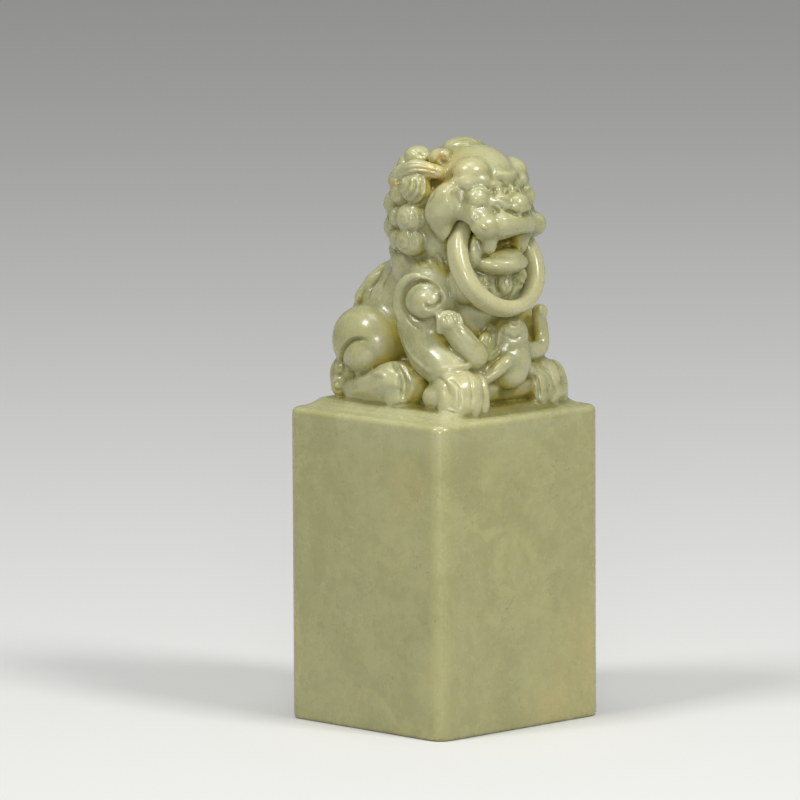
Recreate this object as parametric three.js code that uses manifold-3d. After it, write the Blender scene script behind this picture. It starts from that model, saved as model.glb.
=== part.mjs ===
import * as THREE from 'three';
import { mergeVertices } from 'three/addons/utils/BufferGeometryUtils.js';
import Module from 'manifold-3d';

// A stone seal: a square block whose top is carved as a seated guardian lion with a cub
// between its forelegs, and a loose ring of the same stone that hangs through its mouth.
// Millimetres. X runs across the front, the lion faces -Y, Z is up, the stamping face is Z = 0.

const wasm = await Module();
wasm.setup();

// The block and the low ground that is left under the paws.
const BLOCK_WIDTH = 35.0;
const BLOCK_DEPTH = 33.4;
const BLOCK_HEIGHT = 48.2;
const CORNER_RADIUS = 2.4;
const TOP_ROUNDING = 1.0;
const FOOT_CHAMFER = 0.3;
const GROUND_HEIGHT = 1.3;
const GROUND_WIDTH = 27.6;
const GROUND_DEPTH = 30.6;
const GROUND_CORNER = 5.0;

// The loose ring. It passes over the tongue, and its lower edge leans on the cub.
const RING_RADIUS = 7.64;
const RING_WALL = 2.64;
const RING_LENGTH = 3.6;
const RING_LEAN_DEG = 25.3;
const RING_SWING_DEG = 24;
const CLEARANCE = 0.3;

// The head. Its centre is given from the ground and from the middle of the block, and every
// part of the face is given from that centre. Where a form is a roll, its route is given for
// one side and mirrored.
const HEAD_BACK = -4.9;
const HEAD_HEIGHT = 30.9;
const HEAD_ROLL_DEG = 4;
const HEAD_TURN_DEG = 4;
const SKULL = { halfWidth: 7.4, halfDepth: 7.6, halfHeight: 7.0 };
const FOREHEAD = { y: -1.7, z: 3.0, halfWidth: 6.8, halfDepth: 7.4, halfHeight: 5.9 };
const SNOUT = { y: -5.6, z: -0.3, halfWidth: 6.2, halfDepth: 4.9, halfHeight: 3.3 };
const MUZZLE = { y: -5.4, z: 2.0, halfWidth: 5.6, halfDepth: 3.6, halfHeight: 3.0 };
const BROW = { r: 1.75, route: [[7.0, -4.2, 2.9], [6.0, -6.0, 3.4], [3.4, -8.0, 3.2]] };
const EYE = { x: 5.3, y: -7.4, z: 1.0, r: 1.7 };
const NOSE = { y: -9.7, z: -0.3, r: 1.6, route: [[0, -6.2, 2.2], [0, -8.7, -0.3]] };
const NOSTRIL = { x: 2.2, y: -8.9, z: -0.3, r: 1.1 };
const CHEEK = {
  r: 2.85,
  route: [[5.3, -4.9, 0.2], [7.4, -3.3, 0.5], [7.8, -1.9, -2.0], [7.0, -2.5, -5.6]],
};
const LIP = {
  r: 2.45,
  route: [[0.3, -9.8, -2.6], [2.8, -9.3, -3.2], [5.2, -8.1, -3.3], [6.2, -6.9, -2.7]],
};
const JAW = { y: -7.4, z: -9.0, halfWidth: 4.5, halfDepth: 4.1, halfHeight: 1.9 };
const JAW_ROOT = { r: 3.4, route: [[0, -7.4, -8.6], [0, -1.5, -7.4]] };
const TONGUE = { y: -7.5, z: -7.4, halfWidth: 3.2, halfDepth: 3.3, halfHeight: 1.3 };
const TONGUE_ROOT = { y: -3.3, halfWidth: 4.6, halfDepth: 3.4, halfHeight: 3.6 };
const FANG = { r: 0.9, route: [[3.9, -8.3, -4.2], [3.9, -8.3, -6.6]] };
const EAR = { r: 1.1, route: [[7.3, -1.3, 4.8], [8.3, 2.9, 5.1], [8.4, 7.2, 3.9]] };
const EAR_BUD = { x: 8.3, y: 2.2, z: 2.1, halfWidth: 2.1, halfDepth: 2.6, halfHeight: 2.5 };
const MOUTH_HALF_HEIGHT = 2.7;
const MOUTH_HALF_WIDTH = 11.0;
const MOUTH_HALF_DEPTH = 5.4;
const MOUTH_DROP = 1.9;

// The mane: upright columns of curls on an oval shell behind the face. Degrees run from the
// side of the head to its back. The columns start at different heights, so that most curls
// lie between their neighbours, and the shell narrows towards the top. The core stands a
// little proud of the curls' middles, so that every curl grows out of it with no gap behind.
const MANE_HALF_WIDTH = 8.6;
const MANE_HALF_DEPTH = 7.9;
const MANE_BACK = 3.5;
const MANE_TAPER = 0.035;
const MANE_CORE = { top: 1.4, proud: 0.2 };
const CURL_PITCH = 3.5;
const CURL_COLUMNS = [
  { degrees: -3, top: -2.5, curls: 2, r: 2.3 },
  { degrees: 22, top: 0.8, curls: 3, r: 1.6 },
  { degrees: 46, top: 2.4, curls: 4, r: 2.1 },
  { degrees: 72, top: 4.2, curls: 4, r: 2.15 },
];

// The tuft on the crown, with a lock on each side of it and another behind that.
const CROWN = { y: 0.6, z: 7.3, halfWidth: 3.5, halfDepth: 3.6, halfHeight: 2.1 };
const CROWN_LOCKS = [
  { x: 4.4, y: 1.4, z: 6.1, r: 2.1 },
  { x: 4.9, y: 5.6, z: 6.0, r: 2.3 },
];

// The neck plane, where the head is parted from the body.
const NECK_SLOPE_DEG = 11.5;
const NECK_BELOW_HEAD = 8.9;

// The body, given from the ground.
const CHEST = { y: -3.8, z: 14.5, halfWidth: 8.3, halfDepth: 7.6, halfHeight: 10.0 };
const BACK = { y: 6.4, z: 10.4, halfWidth: 9.2, halfDepth: 8.3, halfHeight: 9.8 };
const NECK = { y: -0.4, halfWidth: 8.6, halfDepth: 8.4, halfHeight: 7.8 };
const THIGH = { x: 8.6, y: 7.9, z: 8.5, halfWidth: 4.5, halfDepth: 6.2, halfHeight: 5.8 };
const SHOULDER = { x: 6.9, y: -3.9, z: 15.4, halfWidth: 4.3, halfDepth: 5.4, halfHeight: 6.6 };
const BOSS = { x: 9.6, y: -4.9, z: 15.9, r: 2.7, ridge: 0.9, ridgeRadius: 4.1 };
const FORELEG = {
  r: 3.6,
  route: [[7.4, -2.7, 12.8], [7.9, -5.6, 7.9], [7.9, -9.4, 5.4], [7.9, -9.4, 1.4]],
};
const FOREPAW = { x: 7.9, y: -11.0, width: 7.2, length: 7.8, height: 5.9, toes: 4 };
const LEFT_PAW_OUT = 1.1;
const HINDPAW = { x: 10.1, y: 1.3, width: 6.4, length: 13.0, height: 6.3, toes: 3 };
const THIGH_TIP = { r: 1.7, route: [[9.8, 7.2, 8.4], [10.4, 6.7, 4.4]] };
const HAUNCH = { halfWidth: 9.5, front: 2.0, back: 12.5, height: 6.0 };
const HEEL = { x: 9.4, y: 11.4, z: 3.0, r: 2.7, halfHeight: 3.4 };
const BEARD = { y: -9.4, z: 17.9, halfWidth: 6.0, halfDepth: 3.0, halfHeight: 3.6 };
const TUFT = { y: 12.9, z: 3.3, r: 1.9, locks: 5, spread: 4.3 };
const TAIL = { r: 1.9, fan: 4.4, strands: 3, sunk: 0.7, fromDeg: -40, toDeg: 72 };

// The cub, which leans back against the chest. Its arms hold the forelegs.
const CUB_X = 1.4;
const CUB_BACK = -9.3;
const CUB_HEAD = { y: -11.7, z: 10.4, r: 3.1 };
const CUB_MUZZLE = { y: -2.0, z: 0.4, halfWidth: 2.1, halfDepth: 1.5, halfHeight: 1.8 };
const CUB_EAR = { x: 2.8, y: 0, z: 1.2, halfWidth: 0.9, halfDepth: 1.0, halfHeight: 1.4 };
const CUB_BELLY = { y: -12.2, z: 6.6, halfWidth: 3.5, halfDepth: 3.0, halfHeight: 3.9 };
const CUB_SHOULDER = { x: 1.6, y: -12.6, z: 8.4 };
const CUB_ARM_RADIUS = 1.9;
const CUB_ARMS = [
  { elbow: [-3.6, -12.5, 7.5], hand: [-6.9, -10.6, 12.9] },
  { elbow: [6.9, -12.1, 7.6], hand: [7.9, -11.8, 12.6] },
];
const CUB_LEG = { hipY: -13.3, hipZ: 5.9, footY: -13.7, footZ: 2.4, r: 1.45 };
const CUB_HIPS = [0.4, 3.5];
const CUB_FEET = [-2.2, 5.4];

const rad = THREE.MathUtils.degToRad;
const groundZ = BLOCK_HEIGHT + GROUND_HEIGHT;
const headCentre = new THREE.Vector3(0, HEAD_BACK, groundZ + HEAD_HEIGHT);
const MIRROR = [-1, 1];

// Where the forms that are being made stand. The face leans and turns to one side.
const upright = new THREE.Matrix4();
const headTilt = new THREE.Matrix4()
  .makeTranslation(headCentre)
  .multiply(new THREE.Matrix4().makeRotationZ(rad(HEAD_TURN_DEG)))
  .multiply(new THREE.Matrix4().makeRotationY(rad(HEAD_ROLL_DEG)))
  .multiply(new THREE.Matrix4().makeTranslation(headCentre.clone().negate()));
let placement = upright;

function placedBy(matrix, make) {
  placement = matrix;
  const made = make();
  placement = upright;
  return made;
}

// A closed three.js geometry as a solid that can be joined and cut.
function solid(geometry) {
  const bare = geometry.clone();
  bare.applyMatrix4(placement);
  bare.deleteAttribute('normal');
  bare.deleteAttribute('uv');
  const welded = mergeVertices(bare, 1e-5);
  const corners = welded.index.array;
  const kept = [];
  for (let i = 0; i < corners.length; i += 3) {
    const [a, b, c] = [corners[i], corners[i + 1], corners[i + 2]];
    if (a !== b && b !== c && c !== a) kept.push(a, b, c);
  }
  const mesh = new wasm.Mesh({
    numProp: 3,
    vertProperties: new Float32Array(welded.attributes.position.array),
    triVerts: new Uint32Array(kept),
  });
  return new wasm.Manifold(mesh);
}

function joined(solids) {
  return solids.reduce((whole, next) => whole.add(next));
}

// The places of a form's route on one side, from the place that it belongs to.
function routeOf(form, origin, side = 1) {
  return form.route.map(([x, y, z]) => [origin.x + side * x, origin.y + y, origin.z + z]);
}

// An oval ball with upright poles.
function ball([x, y, z], [rx, ry, rz], sides = 9) {
  const rings = Math.round(sides * 0.6);
  const geometry = new THREE.SphereGeometry(1, sides, rings);
  geometry.rotateX(Math.PI / 2);
  geometry.scale(rx, ry, rz);
  geometry.translate(x, y, z);
  return solid(geometry);
}

// An oval ball for a form that is given by its half sizes, from a place it belongs to.
function oval(form, origin, { sides = 13, side = 1, grow = 0 } = {}) {
  const centre = [origin.x + side * (form.x ?? 0), origin.y + form.y, origin.z + form.z];
  const halves = [form.halfWidth + grow, form.halfDepth + grow, form.halfHeight + grow];
  return ball(centre, halves, sides);
}

// A limb with round ends that tapers from one point to another.
function limb(from, to, r0, r1, sides = 9) {
  const start = new THREE.Vector3(...from);
  const end = new THREE.Vector3(...to);
  const length = start.distanceTo(end);
  const steps = 2;
  const profile = [];
  for (let k = 0; k <= steps; k += 1) {
    const a = (Math.PI / 2) * (k / steps);
    profile.push(new THREE.Vector2(r0 * Math.sin(a), -r0 * Math.cos(a)));
  }
  for (let k = 0; k <= steps; k += 1) {
    const a = (Math.PI / 2) * (k / steps);
    profile.push(new THREE.Vector2(r1 * Math.cos(a), length + r1 * Math.sin(a)));
  }
  profile[0].x = 0;
  profile[profile.length - 1].x = 0;
  const geometry = new THREE.LatheGeometry(profile, sides);
  const up = new THREE.Vector3(0, 1, 0);
  const heading = end.clone().sub(start).normalize();
  geometry.applyQuaternion(new THREE.Quaternion().setFromUnitVectors(up, heading));
  geometry.translate(start.x, start.y, start.z);
  return solid(geometry);
}

// A rounded roll that follows a smooth line through points, with a radius at each.
function roll(points, radii, sides = 8, steps = 6) {
  const curve = new THREE.CatmullRomCurve3(points.map((p) => new THREE.Vector3(...p)));
  const frames = curve.computeFrenetFrames(steps, false);
  const positions = [];
  const index = [];
  const radiusAt = (t) => {
    const s = t * (radii.length - 1);
    const k = Math.min(Math.floor(s), radii.length - 2);
    return THREE.MathUtils.lerp(radii[k], radii[k + 1], s - k);
  };
  const push = (v) => positions.push(v.x, v.y, v.z);
  for (let i = 0; i <= steps; i += 1) {
    const t = i / steps;
    const centre = curve.getPointAt(t);
    for (let j = 0; j < sides; j += 1) {
      const a = (2 * Math.PI * j) / sides;
      const v = centre.clone();
      v.addScaledVector(frames.normals[i], radiusAt(t) * Math.cos(a));
      v.addScaledVector(frames.binormals[i], radiusAt(t) * Math.sin(a));
      push(v);
    }
  }
  const first = curve.getPointAt(0).addScaledVector(frames.tangents[0], -0.6 * radii[0]);
  const endRadius = radii[radii.length - 1];
  const last = curve.getPointAt(1).addScaledVector(frames.tangents[steps], 0.6 * endRadius);
  push(first);
  push(last);
  const firstPole = (steps + 1) * sides;
  for (let j = 0; j < sides; j += 1) {
    const k = (j + 1) % sides;
    index.push(firstPole, k, j);
    index.push(firstPole + 1, steps * sides + j, steps * sides + k);
    for (let i = 0; i < steps; i += 1) {
      const a = i * sides + j;
      const b = i * sides + k;
      index.push(a, b, b + sides, a, b + sides, a + sides);
    }
  }
  const geometry = new THREE.BufferGeometry();
  geometry.setAttribute('position', new THREE.Float32BufferAttribute(positions, 3));
  geometry.setIndex(index);
  return solid(geometry);
}

// One closed outline of a rounded rectangle, walked counter-clockwise.
function roundedOutline(width, depth, radius, steps = 6) {
  const points = [];
  const centres = [[1, 1], [-1, 1], [-1, -1], [1, -1]];
  centres.forEach(([sx, sy], corner) => {
    for (let k = 0; k <= steps; k += 1) {
      const a = (Math.PI / 2) * (corner + k / steps);
      const x = sx * (width / 2 - radius) + radius * Math.cos(a);
      const y = sy * (depth / 2 - radius) + radius * Math.sin(a);
      points.push([x, y]);
    }
  });
  return points;
}

// A solid through stacked outlines with the same number of points, with flat ends.
function stacked(layers) {
  const sides = layers[0].outline.length;
  const positions = [];
  const index = [];
  layers.forEach(({ outline, z }) => outline.forEach(([x, y]) => positions.push(x, y, z)));
  const bottom = layers.length * sides;
  positions.push(0, 0, layers[0].z, 0, 0, layers[layers.length - 1].z);
  for (let j = 0; j < sides; j += 1) {
    const k = (j + 1) % sides;
    index.push(bottom, k, j);
    index.push(bottom + 1, (layers.length - 1) * sides + j, (layers.length - 1) * sides + k);
    for (let i = 0; i < layers.length - 1; i += 1) {
      const a = i * sides + j;
      const b = i * sides + k;
      index.push(a, b, b + sides, a, b + sides, a + sides);
    }
  }
  const geometry = new THREE.BufferGeometry();
  geometry.setAttribute('position', new THREE.Float32BufferAttribute(positions, 3));
  geometry.setIndex(index);
  return solid(geometry);
}

function box(x0, x1, y0, y1, z0, z1) {
  const geometry = new THREE.BoxGeometry(x1 - x0, y1 - y0, z1 - z0);
  geometry.translate((x0 + x1) / 2, (y0 + y1) / 2, (z0 + z1) / 2);
  return solid(geometry);
}

// The block: sharp foot with a small chamfer, rounded upright edges, a rounded rim,
// and a shallow hollow slope up to the flat ground under the lion.
function makeBlock() {
  const inset = (amount) => {
    const r = Math.max(CORNER_RADIUS - amount, CORNER_RADIUS / 3);
    return roundedOutline(BLOCK_WIDTH - 2 * amount, BLOCK_DEPTH - 2 * amount, r);
  };
  const layers = [
    { outline: inset(FOOT_CHAMFER), z: 0 },
    { outline: inset(0), z: FOOT_CHAMFER },
  ];
  const rimSteps = 3;
  for (let k = 0; k <= rimSteps; k += 1) {
    const a = (Math.PI / 2) * (k / rimSteps);
    const z = BLOCK_HEIGHT - TOP_ROUNDING * (1 - Math.sin(a));
    layers.push({ outline: inset(TOP_ROUNDING * (1 - Math.cos(a))), z });
  }
  const rimWidth = BLOCK_WIDTH - 2 * TOP_ROUNDING;
  const rimDepth = BLOCK_DEPTH - 2 * TOP_ROUNDING;
  const slopeSteps = 3;
  for (let k = 1; k <= slopeSteps; k += 1) {
    const t = k / slopeSteps;
    const width = THREE.MathUtils.lerp(rimWidth, GROUND_WIDTH, t);
    const depth = THREE.MathUtils.lerp(rimDepth, GROUND_DEPTH, t);
    const corner = THREE.MathUtils.lerp(CORNER_RADIUS, GROUND_CORNER, t);
    layers.push({
      outline: roundedOutline(width, depth, corner),
      z: BLOCK_HEIGHT + GROUND_HEIGHT * t ** 2,
    });
  }
  return stacked(layers);
}

// The ring about its hinge, which is the middle of its section inside the mouth.
const hinge = new THREE.Vector3(
  0,
  HEAD_BACK + TONGUE_ROOT.y,
  groundZ + HEAD_HEIGHT - MOUTH_HALF_HEIGHT + CLEARANCE,
);

function makeRing(swing, grow = 0) {
  const sectionSteps = grow > 0 ? 8 : 12;
  const turns = grow > 0 ? 24 : 44;
  const profile = [];
  for (let k = 0; k <= sectionSteps; k += 1) {
    const a = (2 * Math.PI * k) / sectionSteps;
    const across = RING_RADIUS + (RING_WALL / 2 + grow) * Math.cos(a);
    profile.push(new THREE.Vector2(across, (RING_LENGTH / 2 + grow) * Math.sin(a)));
  }
  profile[sectionSteps].copy(profile[0]);
  const geometry = new THREE.LatheGeometry(profile, turns);
  geometry.translate(0, 0, -RING_RADIUS);
  geometry.rotateX(-rad(RING_LEAN_DEG + swing));
  geometry.translate(hinge.x, hinge.y, hinge.z);
  return solid(geometry);
}

// Takes the space that the ring sweeps, with its clearance, out of a neighbour.
function clearOfRing(body) {
  const steps = 3;
  let cut = body;
  for (let k = 0; k <= steps; k += 1) {
    cut = cut.subtract(makeRing((RING_SWING_DEG * k) / steps, CLEARANCE));
  }
  return cut;
}

// The half of space above the neck plane, as one large block.
function aboveNeck() {
  const reach = 4 * BLOCK_WIDTH;
  const geometry = new THREE.BoxGeometry(reach, reach, reach);
  geometry.translate(0, 0, reach / 2);
  geometry.rotateX(rad(NECK_SLOPE_DEG));
  geometry.translate(0, HEAD_BACK, headCentre.z - NECK_BELOW_HEAD);
  return solid(geometry);
}

// The skull, the face, the ears and the crown, before the mouth is opened.
function face() {
  const at = (x, y, z) => [x, headCentre.y + y, headCentre.z + z];
  const parts = [{ y: 0, z: 0, ...SKULL }, FOREHEAD, SNOUT, MUZZLE].map((form) => oval(form, headCentre));
  parts.push(limb(...routeOf(NOSE, headCentre), NOSE.r * 1.15, NOSE.r * 1.05));
  parts.push(ball(at(0, NOSE.y, NOSE.z), [NOSE.r * 1.1, NOSE.r * 0.95, NOSE.r]));
  parts.push(oval(CROWN, headCentre, { sides: 10 }));
  for (const side of MIRROR) {
    parts.push(roll(routeOf(BROW, headCentre, side), [BROW.r * 0.75, BROW.r, BROW.r * 0.75], 8, 5));
    parts.push(ball(at(side * EYE.x, EYE.y, EYE.z), [EYE.r * 1.2, EYE.r, EYE.r * 0.9]));
    const nostril = [NOSTRIL.r, NOSTRIL.r, NOSTRIL.r * 0.9];
    parts.push(ball(at(side * NOSTRIL.x, NOSTRIL.y, NOSTRIL.z), nostril, 7));
    const cheekRadii = [0.8, 0.97, 1, 0.6].map((share) => CHEEK.r * share);
    parts.push(roll(routeOf(CHEEK, headCentre, side), cheekRadii, 8, 6));
    parts.push(roll(routeOf(EAR, headCentre, side), [EAR.r, EAR.r * 1.45, EAR.r * 0.35], 8, 5));
    parts.push(oval(EAR_BUD, headCentre, { sides: 9, side }));
    for (const lock of CROWN_LOCKS) {
      parts.push(ball(at(side * lock.x, lock.y, lock.z), [lock.r, lock.r, lock.r * 0.8], 7));
    }
  }
  return joined(parts);
}

// How much of its full girth the mane's shell has at a height from the head's centre.
function maneShare(up) {
  return 1 - MANE_TAPER * Math.max(0, up);
}

// The thick hair behind the face, from the lowest curl up, with its columns of curls.
function mane() {
  const backY = headCentre.y + MANE_BACK;
  const lowest = Math.min(...CURL_COLUMNS.map(({ top, curls }) => top - (curls - 1) * CURL_PITCH));
  const heights = [lowest, 0, MANE_CORE.top];
  const places = heights.map((up) => [0, backY, headCentre.z + up]);
  const radii = heights.map((up) => MANE_HALF_DEPTH * maneShare(up) + MANE_CORE.proud);
  const widened = new THREE.Matrix4().makeScale(MANE_HALF_WIDTH / MANE_HALF_DEPTH, 1, 1);
  const parts = [0, 1].map((k) => placedBy(widened, () => (
    limb(places[k], places[k + 1], radii[k], radii[k + 1], 14)
  )));
  for (const { degrees, top, curls, r } of CURL_COLUMNS) {
    for (let k = 0; k < curls; k += 1) {
      const up = top - k * CURL_PITCH;
      const x = MANE_HALF_WIDTH * maneShare(up) * Math.cos(rad(degrees));
      const y = backY + MANE_HALF_DEPTH * maneShare(up) * Math.sin(rad(degrees));
      for (const side of MIRROR) {
        parts.push(ball([side * x, y, headCentre.z + up], [r, r, r * 0.92], 7));
      }
    }
  }
  return joined(parts);
}

// The upper lip hangs over the mouth as two rolls that meet under the nose.
function lips() {
  const parts = [];
  for (const side of MIRROR) {
    const lipRadii = [0.65, 0.92, 1, 0.8].map((share) => LIP.r * share);
    parts.push(roll(routeOf(LIP, headCentre, side), lipRadii, 8, 5));
    parts.push(limb(...routeOf(FANG, headCentre, side), FANG.r * 1.2, FANG.r * 0.7, 7));
  }
  return joined(parts);
}

// The lower jaw with the tongue, and the root of the tongue that carries the ring.
function jawAndTongue() {
  const rootTop = hinge.z - RING_WALL / 2 - CLEARANCE;
  const root = [TONGUE_ROOT.halfWidth, TONGUE_ROOT.halfDepth, TONGUE_ROOT.halfHeight];
  return joined([
    ball([0, headCentre.y + TONGUE_ROOT.y, rootTop - TONGUE_ROOT.halfHeight], root, 12),
    oval(JAW, headCentre),
    limb(...routeOf(JAW_ROOT, headCentre), JAW_ROOT.r / 2, JAW_ROOT.r, 10),
    oval(TONGUE, headCentre, { sides: 12 }),
  ]);
}

function makeHead() {
  // The mouth is open right through from cheek to cheek.
  const opening = { y: SNOUT.y - 0.3, halfWidth: MOUTH_HALF_WIDTH, halfDepth: MOUTH_HALF_DEPTH };
  const middle = hinge.z - headCentre.z - MOUTH_DROP;
  const mouth = oval({ ...opening, z: middle, halfHeight: MOUTH_HALF_HEIGHT }, headCentre);
  const head = placedBy(headTilt, face)
    .add(mane())
    .subtract(mouth)
    .add(placedBy(headTilt, lips))
    .add(jawAndTongue())
    .intersect(aboveNeck());
  return clearOfRing(head);
}

// A paw: a high rounded pad whose front is split into upright toes.
function paw(x, y, size, side, grow) {
  const [w, l, h] = [size.width, size.length, size.height];
  const pad = [w / 2 + grow, l * 0.46 + grow, h * 0.6 + grow];
  const parts = [ball([x, y + l * 0.08, groundZ + h * 0.4], pad)];
  const toeRadius = (w / size.toes) * 0.66;
  for (let k = 0; k < size.toes; k += 1) {
    const across = (k - (size.toes - 1) / 2) / size.toes;
    const toeX = x + side * across * w;
    const front = y - l / 2 + toeRadius * (1 + 2.2 * Math.abs(across));
    const knuckle = [toeX, front + toeRadius * 1.3, groundZ + h * 0.82 - toeRadius];
    const tip = [toeX, front, groundZ + toeRadius * 0.5];
    parts.push(limb(knuckle, tip, toeRadius + grow, toeRadius + grow, 7));
  }
  return joined(parts);
}

// The raised crescent behind the round boss, laid on the shoulder's surface.
function shoulderRidge(side) {
  const points = [];
  for (const angle of [70, 120, 180, 240, 290]) {
    const y = BOSS.y - BOSS.ridgeRadius * Math.cos(rad(angle));
    const z = BOSS.z + BOSS.ridgeRadius * Math.sin(rad(angle));
    const acrossY = (y - SHOULDER.y) / SHOULDER.halfDepth;
    const acrossZ = (z - SHOULDER.z) / SHOULDER.halfHeight;
    const bulge = Math.sqrt(Math.max(0, 1 - acrossY ** 2 - acrossZ ** 2));
    points.push([side * (SHOULDER.x + SHOULDER.halfWidth * bulge), y, groundZ + z]);
  }
  return points;
}

function forelegs(grow = 0) {
  const ground = new THREE.Vector3(0, 0, groundZ);
  const parts = [];
  for (const side of MIRROR) {
    parts.push(oval(SHOULDER, ground, { side, grow }));
    const thickness = [1.15, 1.05, 0.93, 0.9].map((share) => FORELEG.r * share + grow);
    parts.push(roll(routeOf(FORELEG, ground, side), thickness, 9, 6));
    const pawX = FOREPAW.x + (side > 0 ? LEFT_PAW_OUT : 0);
    parts.push(paw(side * pawX, FOREPAW.y, FOREPAW, side, grow));
    const boss = [BOSS.r * 0.8 + grow, BOSS.r + grow, BOSS.r + grow];
    parts.push(ball([side * BOSS.x, BOSS.y, groundZ + BOSS.z], boss, 10));
    const ridge = [0.3, 0.8, 1, 0.8, 0.3].map((share) => BOSS.ridge * share + grow);
    parts.push(roll(shoulderRidge(side), ridge, 6, 8));
  }
  return joined(parts);
}

function trunk(grow = 0) {
  const ground = new THREE.Vector3(0, 0, groundZ);
  const neck = { ...NECK, z: HEAD_HEIGHT - NECK_BELOW_HEAD - 1.5 };
  return joined([CHEST, BACK, neck].map((form) => oval(form, ground, { sides: 16, grow })));
}

// The hollow against the chest where the cub lies, with a flat back wall that it meets.
function cubHollow() {
  const half = CUB_BELLY.halfWidth + CLEARANCE;
  const top = groundZ + CUB_HEAD.z + CUB_HEAD.r + CLEARANCE;
  return box(CUB_X - half, CUB_X + half, -BLOCK_DEPTH, CUB_BACK, groundZ - 1, top);
}

function makeBody() {
  const ground = new THREE.Vector3(0, 0, groundZ);
  const parts = [trunk(), forelegs(), oval(BEARD, ground, { sides: 12 })];
  for (const side of MIRROR) {
    parts.push(oval(THIGH, ground, { side }));
    parts.push(limb(...routeOf(THIGH_TIP, ground, side), THIGH_TIP.r * 2, THIGH_TIP.r));
    parts.push(paw(side * HINDPAW.x, HINDPAW.y, HINDPAW, side, 0));
    parts.push(ball([side * HEEL.x, HEEL.y, groundZ + HEEL.z], [HEEL.r, HEEL.r, HEEL.halfHeight]));
  }
  const seat = [HAUNCH.front, HAUNCH.back, groundZ - 0.5, groundZ + HAUNCH.height];
  parts.push(box(-HAUNCH.halfWidth, HAUNCH.halfWidth, ...seat));
  // A row of curled locks at the foot of the back.
  for (let k = 0; k < TUFT.locks; k += 1) {
    const x = (k - (TUFT.locks - 1) / 2) * TUFT.spread;
    const y = TUFT.y - Math.abs(x) * 0.06;
    parts.push(ball([x, y, groundZ + TUFT.z], [TUFT.r * 1.25, TUFT.r, TUFT.r * 1.5], 8));
  }
  // The tail lies up the curve of the back and fans out into pointed strands.
  for (let k = 0; k < TAIL.strands; k += 1) {
    const across = k - (TAIL.strands - 1) / 2;
    const end = TAIL.toDeg - 16 * Math.abs(across);
    const strand = [0, 0.34, 0.68, 1].map((t) => {
      const angle = rad(THREE.MathUtils.lerp(TAIL.fromDeg, end, t));
      const x = across * TAIL.fan * Math.sin(Math.PI * (0.15 + 0.5 * t));
      const inward = 1 - 0.06 * Math.abs(across);
      const y = BACK.y + (BACK.halfDepth * inward - TAIL.sunk) * Math.cos(angle);
      return [x, y, groundZ + BACK.z + (BACK.halfHeight * inward - TAIL.sunk) * Math.sin(angle)];
    });
    parts.push(roll(strand, [TAIL.r, TAIL.r * 1.1, TAIL.r * 0.9, TAIL.r * 0.35], 6, 7));
  }
  const reach = 2 * BLOCK_WIDTH;
  const aboveGround = box(-reach, reach, -reach, reach, groundZ, groundZ + reach);
  const body = joined(parts)
    .intersect(aboveGround)
    .subtract(aboveNeck())
    .subtract(cubHollow());
  return clearOfRing(body);
}

function makeCub() {
  const middle = new THREE.Vector3(CUB_X, 0, groundZ);
  const head = new THREE.Vector3(CUB_X, CUB_HEAD.y, groundZ + CUB_HEAD.z);
  const above = ([x, y, z]) => [x, y, groundZ + z];
  const parts = [
    ball(head.toArray(), [CUB_HEAD.r * 1.05, CUB_HEAD.r * 0.95, CUB_HEAD.r * 0.95], 12),
    oval(CUB_MUZZLE, head, { sides: 9 }),
    oval(CUB_BELLY, middle),
  ];
  CUB_ARMS.forEach(({ elbow, hand }, k) => {
    const side = MIRROR[k];
    parts.push(oval(CUB_EAR, head, { sides: 7, side }));
    const chest = [CUB_X + side * CUB_SHOULDER.x, CUB_SHOULDER.y, groundZ + CUB_SHOULDER.z];
    const thickness = [1, 1.15, 1, 0.95].map((share) => CUB_ARM_RADIUS * share);
    const wrist = elbow.map((value, axis) => THREE.MathUtils.lerp(value, hand[axis], 0.6));
    parts.push(roll([chest, above(elbow), above(wrist), above(hand)], thickness, 9, 7));
    const hip = [CUB_HIPS[k], CUB_LEG.hipY, groundZ + CUB_LEG.hipZ];
    const foot = [CUB_FEET[k], CUB_LEG.footY, groundZ + CUB_LEG.footZ];
    parts.push(limb(hip, foot, CUB_LEG.r * 1.15, CUB_LEG.r));
  });
  const mother = joined([trunk(CLEARANCE), forelegs(CLEARANCE)]).subtract(cubHollow());
  const reach = 2 * BLOCK_WIDTH;
  const inFront = box(-reach, reach, -reach, CUB_BACK, groundZ + CLEARANCE, groundZ + reach);
  return clearOfRing(joined(parts).intersect(inFront).subtract(mother));
}

function material(colour, roughness) {
  return new THREE.MeshStandardMaterial({ color: colour, roughness, metalness: 0 });
}

function named(name, body, colour, roughness) {
  const mesh = body.getMesh();
  const geometry = new THREE.BufferGeometry();
  const { numProp, vertProperties, triVerts } = mesh;
  const positions = [];
  for (let i = 0; i < vertProperties.length; i += numProp) {
    positions.push(vertProperties[i], vertProperties[i + 1], vertProperties[i + 2]);
  }
  geometry.setAttribute('position', new THREE.Float32BufferAttribute(positions, 3));
  geometry.setIndex([...triVerts]);
  geometry.computeVertexNormals();
  const node = new THREE.Mesh(geometry, material(colour, roughness));
  node.name = name;
  return node;
}

const group = new THREE.Group();
group.name = 'seal_stamp';
group.add(named('seal_block', makeBlock(), '#b9b98a', 0.3));
group.add(named('lion_body', makeBody(), '#bfc092', 0.28));
group.add(named('lion_head', makeHead(), '#c4c498', 0.28));
group.add(named('lion_cub', makeCub(), '#c2c294', 0.28));
group.add(named('mouth_ring', makeRing(0), '#c8c89c', 0.25));

export default group;
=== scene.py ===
"""A carved stone seal: a square block, a seated guardian lion with its cub, and a loose ring."""

from math import atan2, cos, degrees, hypot, pi, radians, sin, sqrt, tau

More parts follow.
